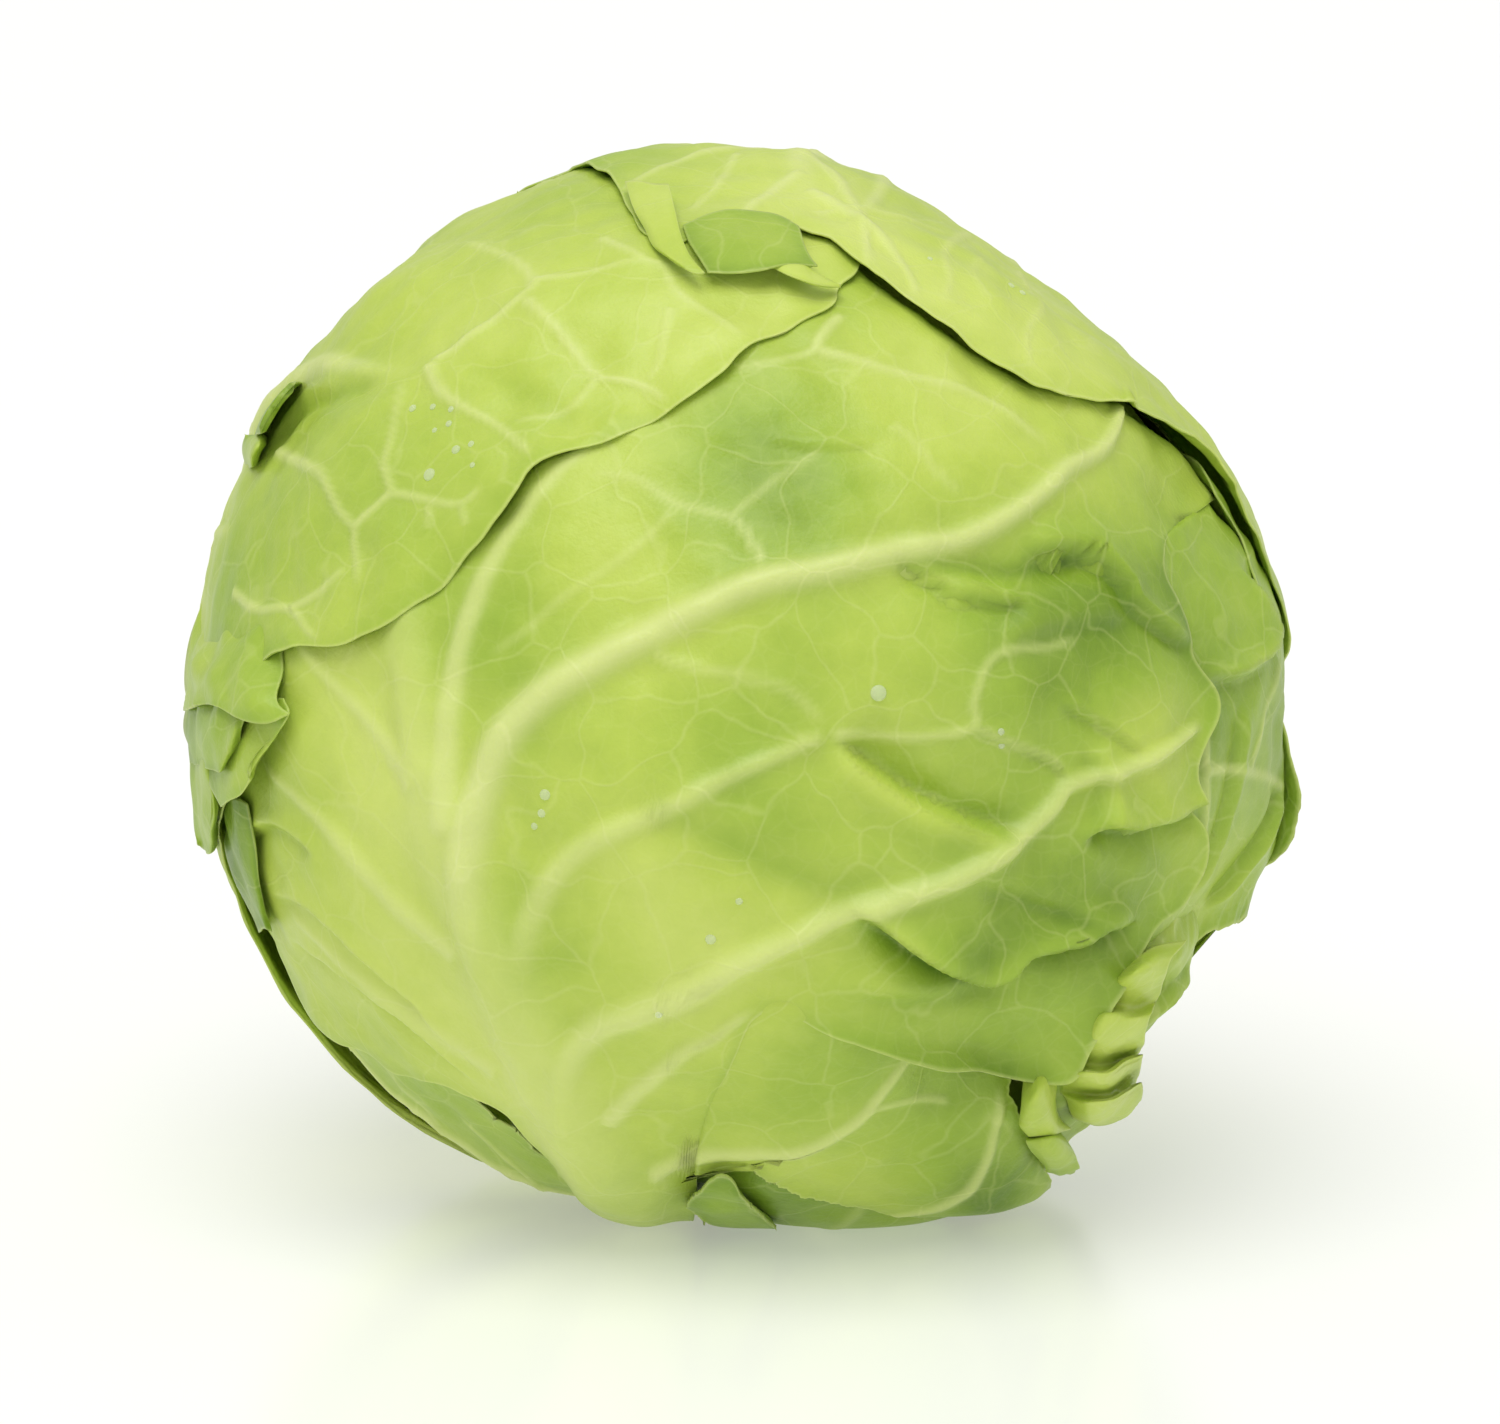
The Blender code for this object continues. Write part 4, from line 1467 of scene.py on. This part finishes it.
def bottom_leaf() -> WrapperLeaf:
    """The darker leaf that touches the floor under the lower leaf.

    Returns:
        The leaf.
    """
    ribs = (Rib(((2, -32), (4, -20), (6, -8)), (1.6, 0.9), (0.7, 0.3), 0.4),)
    outline = Outline(((-14, -4), (-15, -16), (-11, -26), (-3, -32), (6, -33.5), (13, -30), (18, -21),
                       (17, -8), (8, 0), (-4, 1)), (3, -14), 0.08, 20)
    return WrapperLeaf("bottom_leaf", Drawing(UNDER_FRONT, ribs, tone=0.8, seed=101), outline, -3.4, 0.6,
                       97, slopes=(Lump((8, -26), 5.0, 10),))


def petiole_stub() -> WrapperLeaf:
    """The pale torn stub of a removed leaf's stem.

    Returns:
        The leaf.
    """
    outline = Outline(((-7, -69), (-3.5, -61.5), (-1, -61.5), (1, -67), (5, -77), (4, -80.5), (-1.5, -79.5),
                       (-6, -73)), (-1, -71), 0.05, 22)
    return WrapperLeaf("petiole_stub", Drawing(FRONT, tone=0.74, seed=111, wave=0.2), outline, 0.4, 0.6, 97,
                       thickness=1.8)


def flaps() -> tuple[DrapedFlap, ...]:
    """The folded corner at the top, the ruffle at the left and the curls at the lower right.

    Returns:
        The flaps.
    """
    return (
        DrapedFlap("top_fold", "top_leaf",
                   (((-18.5, 82, 39.5), (-17, 77, 49), (-15, 73, 55), (-13.5, 70, 60), (-10, 67, 64.5)),
                    ((-16.5, 82.5, 42.5), (-15, 77.5, 52.5), (-13.5, 73, 59), (-11.5, 69.5, 64.5),
                     (-8, 66.5, 67.5)),
                    ((-14, 82.5, 45), (-12.5, 77.5, 55), (-11, 73.5, 61.5), (-9, 70, 66.5),
                     (-6.5, 66.5, 68.5)),
                    ((-11.5, 82, 45), (-10.5, 78, 55), (-9.5, 74, 61.5), (-8, 70.5, 66.5),
                     (-5.5, 66.5, 68))),
                   tone=0.28, wave=0.1, seed=201, stand=4.5),
        DrapedFlap("top_tongue", "top_leaf",
                   (((-9, 73.5, 54), (-5.5, 75.5, 51.5), (-0.5, 76.5, 50), (5, 76, 50), (9.5, 73.5, 52)),
                    ((-8, 71, 59), (-4, 72.5, 57), (1, 73, 56.5), (6.5, 72.5, 57), (10.5, 70.5, 58)),
                    ((-6.5, 68.5, 63), (-2.5, 69.5, 62), (2, 69.5, 62.5), (7.5, 69.5, 62),
                     (11.5, 68.5, 61.5)),
                    ((-5, 66.5, 67), (-1, 66.5, 67), (3.5, 67, 67), (8, 68, 65), (12.5, 67.5, 63.5))),
                   tone=0.68, wave=0.15, seed=202, stand=4.0),
        DrapedFlap("left_tip_fold", "left_leaf",
                   (((4, 67.5, 61.5), (7, 68, 61.5), (10, 68, 61.5), (11.5, 66, 63), (16, 63.5, 62.5)),
                    ((4, 67, 62.5), (7, 67, 64), (9.5, 66, 65), (12, 64.5, 65), (16, 63.5, 63.5)),
                    ((4.5, 66.5, 62.5), (7, 65.5, 65.5), (9.5, 64.5, 66.5), (12.5, 63.5, 66),
                     (16, 63, 63.5))),
                   tone=0.22, thickness=0.6, wave=0.08, seed=203, grid=43),
        DrapedFlap("ruffle_lobe", "left_leaf",
                   (((-88.5, 15, 7.5), (-86, 15, 7.5), (-82, 15.5, 24.5), (-79, 15.5, 33.5),
                     (-76, 15.5, 40), (-72.5, 14.5, 45.5)),
                    ((-90.5, 9, 7.5), (-87.5, 9, 16.5), (-83.5, 9.5, 32), (-80, 10, 40.5), (-76.5, 10, 46),
                     (-73, 9, 51)),
                    ((-91.5, 4.5, 8), (-87, 4, 33), (-83, 4, 44), (-79.5, 4.5, 49), (-76, 4, 52.5),
                     (-73, 3, 55)),
                    ((-91.5, 0, 7.5), (-86, -0.5, 42.5), (-82.5, -1, 51), (-79, -1, 56.5),
                     (-75.5, -1, 57.5), (-72.5, -2, 58)),
                    ((-91, -3.5, 14), (-86, -2.5, 43), (-82.5, -4, 52), (-78.5, -5.5, 57.5),
                     (-74.5, -5.5, 59), (-71, -4, 60))),
                   tone=0.5, wave=0.35, seed=204),
        DrapedFlap("ruffle_tube", "left_leaf",
                   (((-91, -1.5, 7.5), (-87.5, -1.5, 28.5), (-84, -2, 42.5), (-81, -2.5, 48.5),
                     (-78.5, -3.5, 51.5)),
                    ((-91.5, -6.5, 7.5), (-87.5, -6, 34), (-84, -7, 47), (-81, -7, 51), (-79, -6.5, 50.5)),
                    ((-91, -9.5, 7.5), (-87.5, -9.5, 33), (-84, -10.5, 47), (-82, -10, 49),
                     (-80, -8.5, 47.5)),
                    ((-90.5, -12, 7.5), (-87, -12.5, 30.5), (-84.5, -13.5, 43.5), (-83, -13, 44.5),
                     (-81.5, -10.5, 43))),
                   tone=0.58, wave=0.3, seed=205, grid=49),
        DrapedFlap("ruffle_tip", "left_leaf",
                   (((-87, -8.5, 24.5), (-83.5, -6, 37.5), (-79, -3.5, 46.5), (-75, -1.5, 53),
                     (-72, -1.5, 56.5)),
                    ((-86, -12.5, 30.5), (-83, -10.5, 40), (-79, -8, 49.5), (-75, -6, 55), (-71, -4, 59)),
                    ((-85.5, -16, 33), (-82.5, -14, 42), (-79.5, -12.5, 49.5), (-76.5, -10.5, 54),
                     (-73.5, -7.5, 56.5)),
                    ((-83.5, -19, 37.5), (-82, -18, 42.5), (-80, -17, 47), (-78.5, -14, 51),
                     (-76.5, -10.5, 52.5))),
                   tone=0.64, wave=0.2, seed=206),
        DrapedFlap("ruffle_strip", "left_leaf",
                   (((-91, -9.5, 7.5), (-89.5, -10, 12), (-87, -11, 28.5), (-85, -12, 32),
                     (-84, -13.5, 30.5)),
                    ((-90.5, -15, 7.5), (-89, -15.5, 15), (-86.5, -16, 31), (-85, -16.5, 32.5),
                     (-84.5, -17, 28.5)),
                    ((-90, -20, 7), (-88.5, -20.5, 15.5), (-86, -21, 30), (-85, -21.5, 30.5),
                     (-84.5, -21, 25)),
                    ((-89.5, -25.5, 7), (-88.5, -26.5, 7), (-87, -27, 18), (-86, -26.5, 18.5),
                     (-85.5, -25.5, 14))),
                   tone=0.62, wave=0.2, seed=207, grid=49),
        DrapedFlap("left_dark_strip", "left_under_leaf",
                   (((-84.5, -18, 23.5), (-82.5, -17.5, 32.5), (-81, -17.5, 37.5), (-79.5, -18.5, 40)),
                    ((-84, -26, 17), (-81.5, -25, 32.5), (-79.5, -25.5, 37.5), (-78, -26, 39)),
                    ((-82, -32.5, 18), (-79.5, -31.5, 31.5), (-78, -32.5, 35), (-77, -33, 34.5)),
                    ((-79, -40, 12.5), (-77.5, -39, 25.5), (-77, -39, 29), (-76, -39.5, 27.5))),
                   tone=0.8, wave=0.2, seed=208, grid=49),
        DrapedFlap("curl_roll", "lower_right_leaf",
                   (((51, -60.5, 38), (51, -63.5, 37), (51, -66.5, 36), (52, -69.5, 32), (54, -71.5, 27)),
                    ((49.5, -59.5, 41.5), (49.5, -63, 47), (49.5, -66.5, 47), (50, -69.5, 44),
                     (51.5, -72, 36.5)),
                    ((47.5, -59.5, 43.5), (47.5, -63, 50.5), (47, -66.5, 51), (47.5, -70, 46.5),
                     (49, -72, 39.5)),
                    ((46, -60, 42), (45.5, -63, 46.5), (45, -66.5, 47), (45, -70, 43), (46.5, -72, 38.5)),
                    ((46, -60.5, 42), (45.5, -63.5, 40.5), (45.5, -67, 38.5), (46, -70, 34),
                     (47, -71.5, 32.5))),
                   tone=0.36, wave=0.2, seed=209),
        DrapedFlap("curl_toe", "lower_right_leaf",
                   (((47, -71, 31), (49, -71, 30), (51.5, -71.5, 28.5), (53, -73, 23.5)),
                    ((46, -72.5, 38.5), (49, -72, 39.5), (51.5, -72.5, 38), (54, -74.5, 27.5)),
                    ((47, -74.5, 34), (49, -74.5, 38), (52, -75.5, 35.5), (55, -76.5, 25)),
                    ((49.5, -77.5, 25), (50.5, -77.5, 29), (52.5, -77.5, 28.5), (55.5, -78, 18)),
                    ((50, -79, 16), (51, -79, 17.5), (52.5, -79.5, 16), (55, -80, 5.5))),
                   tone=0.48, wave=0.15, seed=210, grid=49),
        DrapedFlap("lower_right_pleats", "lower_right_leaf",
                   (((57.5, -44.5, 42), (63, -42.5, 47.5), (67, -41, 45), (71.5, -40, 38)),
                    ((55.5, -47, 43), (61, -46, 53), (64.5, -45, 53), (69, -44.5, 47.5)),
                    ((54, -50, 40), (60, -50, 45), (64, -50.5, 41.5), (67.5, -50, 36.5)),
                    ((52, -52, 42), (58, -52, 52.5), (62, -53, 50.5), (66, -52.5, 45.5)),
                    ((50.5, -56, 40), (56.5, -56.5, 50.5), (61, -57, 47), (65.5, -56.5, 40.5)),
                    ((50.5, -59.5, 36), (55.5, -59.5, 41.5), (60, -60, 37), (64.5, -59.5, 27.5)),
                    ((50, -61, 37), (55, -62, 47.5), (59.5, -62, 46), (65.5, -59.5, 37.5)),
                    ((51, -64, 35.5), (56, -65, 36), (60, -65.5, 31.5), (65, -65.5, 11.5)),
                    ((52.5, -66, 35), (56.5, -67, 41.5), (61, -67, 39.5), (66.5, -65, 29)),
                    ((54, -69.5, 27.5), (57.5, -70.5, 30.5), (61.5, -70, 28), (66, -69, 9.5)),
                    ((57, -71, 3.5), (59, -72, 4), (62, -70.5, 5.5), (64.5, -69, 8))),
                   tone=0.28, wave=0.25, seed=211, grid=91),
        DrapedFlap("left_roll", "left_leaf",
                   (((-71.5, 50, 21.5), (-74.5, 47.5, 15), (-76, 45, 14.5), (-77, 42, 18)),
                    ((-71.5, 49.5, 32), (-74, 47, 32), (-76, 44.5, 31.5), (-77, 41.5, 30.5)),
                    ((-72.5, 49, 31.5), (-75, 46.5, 31.5), (-76.5, 44, 31.5), (-78, 41.5, 30.5)),
                    ((-74.5, 49.5, 14), (-77, 47, 12), (-79, 44.5, 9), (-80, 41.5, 8.5))),
                   tone=0.66, wave=0.1, seed=215, grid=43),
        DrapedFlap("left_knob", "left_leaf",
                   (((-81.5, 42, 9), (-80, 42, 8.5), (-78, 42, 19.5), (-77, 41, 21.5)),
                    ((-82, 40.5, 8.5), (-79, 40.5, 26.5), (-77.5, 40, 31.5), (-77, 39.5, 27.5)),
                    ((-82, 39, 8.5), (-79.5, 38, 29.5), (-78, 38, 31.5), (-77.5, 39, 26.5)),
                    ((-81.5, 37, 8), (-79.5, 36, 25.5), (-78.5, 36.5, 25), (-78.5, 38, 21.5))),
                   tone=0.5, wave=0.1, seed=216, grid=43),
    )


def stack(leaves: dict[str, WrapperLeaf]) -> None:
    """Say which leaves cover which, and which ribs show through a leaf that rests on them.

    Args:
        leaves: every leaf, by name.
    """
    covers = {
        "left_leaf": ("top_leaf",),
        "right_rear_leaf": ("top_leaf",),
        "front_leaf": ("left_leaf", "top_leaf"),
        "rear_left_leaf": ("left_leaf", "top_leaf"),
        "right_leaf": ("front_leaf", "right_rear_leaf", "top_leaf"),
        "left_under_leaf": ("front_leaf", "left_leaf"),
        "lower_leaf": ("front_leaf",),
        "lower_right_leaf": ("front_leaf", "right_leaf"),
        "bottom_leaf": ("lower_leaf",),
    }
    rests = {"left_leaf": ("front_leaf",), "top_leaf": ("front_leaf", "left_leaf")}
    for name, above in covers.items():
        leaves[name].covers = [leaves[other] for other in above]
    for name, below in rests.items():
        leaves[name].rests = [leaves[other] for other in below]


# ---------------------------------------------------------------- heart and stalk


@dataclass
class PackedHeart:
    """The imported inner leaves, as one closed form sunk under the wrapper leaves."""

    depth: float = 8.8
    floor: float = 10.8
    rows: int = 97
    columns: int = 193

    def build(self, head: HeadForm, finish: bpy.types.Material) -> bpy.types.Object:
        """Headings from pole to pole, each at the head's form less the depth, with a faint ripple.

        Args:
            head: the head's form.
            finish: its material.

        Returns:
            The piece.
        """
        every = turned_points(ball_profile(self.rows), self.columns)
        radius = head.radius(every) - self.depth + 0.4 * ripple(every, 30.0, 3)
        points = head.place(every, radius, self.floor)
        mesh = make_mesh("heart", points, *turned_faces(self.columns, self.rows))
        mesh.attributes.new("tone", "FLOAT", "POINT").data.foreach_set(
            "value", (0.2 + 0.08 * ripple(every, 30.0, 4)).astype(np.float32))
        mesh.attributes.new("vein", "FLOAT", "POINT")
        return add_piece("heart_piece", mesh, finish, ("heart",))


@dataclass
class CutStalk:
    """The stalk: a short plug, cut flat, with a rounded rim and a slightly uneven outline."""

    radius: float = 16.4
    columns: int = 128

    def build(self, finish: bpy.types.Material) -> bpy.types.Object:
        """A face, a rounded rim and a side, turned round the axis.

        The radius at a yaw is 1 + 0.012 cos(3 yaw) + 0.008 cos(7 yaw) of the profile's.

        Args:
            finish: its material.

        Returns:
            The piece.
        """
        share = np.linspace(0.0, 0.93, 24)
        turn = np.radians(np.linspace(-80.0, 0.0, 6))
        face = np.stack([share, 0.0 * share], axis=-1)
        rim = np.stack([0.94 + 0.06 * np.cos(turn), 0.06 + 0.06 * np.sin(turn)], axis=-1)
        side = np.array([[0.985, 0.3], [0.97, 0.5], [0.96, 0.58]])
        shoulder = np.array([[0.93, 0.62], [0.5, 0.64], [0.0, 0.64]])
        profile = np.concatenate([face, rim, side, shoulder]) * self.radius
        points = turned_points(profile, self.columns)
        yaw = np.arctan2(points[:, 0], -points[:, 1])
        points[:, :2] *= (1.0 + 0.012 * np.cos(3 * yaw + 0.6) + 0.008 * np.cos(7 * yaw))[:, None]
        mesh = make_mesh("stalk", points, *turned_faces(self.columns, len(profile) - 2))
        return add_piece("stalk_piece", mesh, finish, ("stalk",))


@dataclass
class WaterDrops:
    """Small drops left on the leaves: half-sunk flattened balls."""

    places: tuple[tuple[str, float, float, float], ...]  # leaf, p, q and radius
    columns: int = 20
    rows: int = 11
    flatness: float = 0.5

    def build(self, leaves: dict[str, WrapperLeaf], head: HeadForm,
              finish: bpy.types.Material) -> bpy.types.Object:
        """All the drops as one piece: balls on the leaves, flattened along the line from the head's centre.

        Args:
            leaves: every leaf, by name.
            head: the head's form.
            finish: its material.

        Returns:
            The piece.
        """
        ball = turned_points(ball_profile(self.rows), self.columns)
        quads, caps = turned_faces(self.columns, self.rows)
        points = []
        for name, p, q, radius in self.places:
            base = leaves[name].surface(np.array([p]), np.array([q]), head)[0]
            away = (base - head.centre()) / np.linalg.norm(base - head.centre())
            side = np.cross([0.0, 0.0, 1.0], away)
            side /= np.linalg.norm(side)
            frame_of = np.stack([side, np.cross(away, side), away * self.flatness])
            points.append(base + radius * ball @ frame_of)
        steps = np.arange(len(points))[:, None, None] * len(ball)
        mesh = make_mesh("drops", np.concatenate(points), (quads + steps).reshape(-1, 4),
                         (caps + steps).reshape(-1, 3))
        return add_piece("water_drops", mesh, finish, ("front_leaf",))


DROPS = (  # leaf, place on its chart, and radius in millimetres
    ("front_leaf", -20.0, -11.0, 0.9), ("front_leaf", -20.5, -13.0, 0.7), ("front_leaf", -21.5, -14.5, 0.6),
    ("front_leaf", 14.0, -0.5, 1.3), ("front_leaf", -3.0, -26.5, 0.9), ("front_leaf", 0.0, -22.0, 0.6),
    ("front_leaf", 27.0, -4.5, 0.6), ("front_leaf", 27.5, -6.0, 0.6), ("front_leaf", -8.5, -34.5, 0.6),
    ("left_leaf", 38.5, 34.0, 0.7), ("left_leaf", 40.5, 35.5, 0.6), ("left_leaf", 43.0, 36.5, 0.6),
    ("left_leaf", 44.5, 35.0, 0.6), ("left_leaf", 47.5, 29.0, 1.1), ("left_leaf", 48.0, 33.0, 0.8),
    ("left_leaf", 49.0, 34.5, 0.6), ("left_leaf", 43.5, 33.5, 0.5), ("left_leaf", 51.5, 32.5, 0.5),
    ("top_leaf", -42.0, 54.5, 0.6), ("top_leaf", -43.5, 53.5, 0.6), ("top_leaf", -34.0, 64.0, 0.5),
)


# ---------------------------------------------------------------- studio


@dataclass
class Studio:
    """A pale floor, soft light and a camera a little above level."""

    distance: float = 1200.0
    sensor: float = 36.0
    view_width: float = 249.0  # millimetres across the picture at the head's centre
    aim: Pair = (1.7, -3.7)  # millimetres right of and above the head's centre
    floor_glow: float = 0.31
    floor_width: float = 12000.0

    def camera(self, head: HeadForm) -> None:
        """A long lens at the front chart's heading.

        Args:
            head: the head's form.
        """
        centre, right, up = FRONT.axes()
        target = head.centre() + right * self.aim[0] + up * self.aim[1]
        data = bpy.data.cameras.new("camera")
        data.sensor_width = self.sensor
        data.lens = self.sensor * self.distance / self.view_width
        data.clip_end = 20.0
        camera = bpy.data.objects.new("camera", data)
        camera.location = (target + centre * self.distance) * MM
        camera.rotation_euler = (math.radians(90.0 - FRONT.tilt), 0.0, 0.0)
        bpy.context.scene.collection.objects.link(camera)
        bpy.context.scene.camera = camera

    def light(self, name: str, heading: Chart, spread: float, strength: float) -> None:
        """A broad far light.

        Args:
            name: the light's name.
            heading: where it stands.
            spread: how broad it is, in degrees.
            strength: its strength on a sheet that faces it.
        """
        data = bpy.data.lights.new(name, "SUN")
        data.angle = math.radians(spread)
        data.energy = strength
        lamp = bpy.data.objects.new(name, data)
        lamp.rotation_euler = (math.radians(90.0 - heading.tilt), 0.0, math.radians(heading.yaw))
        bpy.context.scene.collection.objects.link(lamp)

    def floor(self) -> None:
        """A wide pale sheet with a faint gloss, lit a little from below."""
        material = bpy.data.materials.new("white_acrylic_sheet")
        material.use_nodes = True
        shader = material.node_tree.nodes["Principled BSDF"]
        shader.inputs["Base Color"].default_value = linear("#DCDCDA")
        shader.inputs["Roughness"].default_value = 0.22
        shader.inputs["Emission Color"].default_value = linear("#FCFDF8")
        shader.inputs["Emission Strength"].default_value = self.floor_glow
        half = self.floor_width / 2
        corners = half * np.array([[-1.0, -1.0, 0.0], [1.0, -1.0, 0.0], [1.0, 1.0, 0.0], [-1.0, 1.0, 0.0]])
        mesh = make_mesh("floor", corners, np.array([[0, 1, 2, 3]]), np.zeros((0, 3), int))
        mesh.materials.append(material)
        floor = bpy.data.objects.new("floor", mesh)
        bpy.context.scene.collection.objects.link(floor)

    def world(self) -> None:
        """White surroundings."""
        world = bpy.data.worlds.new("white_room")
        world.use_nodes = True
        background = world.node_tree.nodes["Background"]
        background.inputs["Color"].default_value = (1.0, 1.0, 1.0, 1.0)
        background.inputs["Strength"].default_value = 0.60
        bpy.context.scene.world = world

    def build(self, head: HeadForm) -> None:
        """Camera, lights, floor and surroundings.

        Args:
            head: the head's form.
        """
        self.camera(head)
        self.light("key", Chart(-15, 66), 46.0, 1.62)
        self.light("fill", Chart(30, 25), 60.0, 0.15)
        self.floor()
        self.world()
        scene = bpy.context.scene
        scene.view_settings.view_transform = "Standard"
        scene.view_settings.look = "None"


def main() -> None:
    """Build every piece in order, then the studio."""
    logging.basicConfig(level=logging.INFO, format="%(message)s")
    tissue = LeafTissue().build()
    shared = front_drawing()
    made = (top_leaf(), left_leaf(), right_rear_leaf(), front_leaf(shared), rear_left_leaf(), right_leaf(),
            left_under_leaf(), lower_leaf(shared), lower_right_leaf(), bottom_leaf(), petiole_stub())
    leaves = {leaf.name: leaf for leaf in made}
    stack(leaves)
    for piece in (*made, *flaps()):
        piece.build(HEAD, tissue)
    PackedHeart().build(HEAD, tissue)
    CutStalk().build(StalkTissue().build())
    WaterDrops(DROPS).build(leaves, HEAD, Water().build())
    Studio().build(HEAD)


if __name__ == "__main__":
    main()
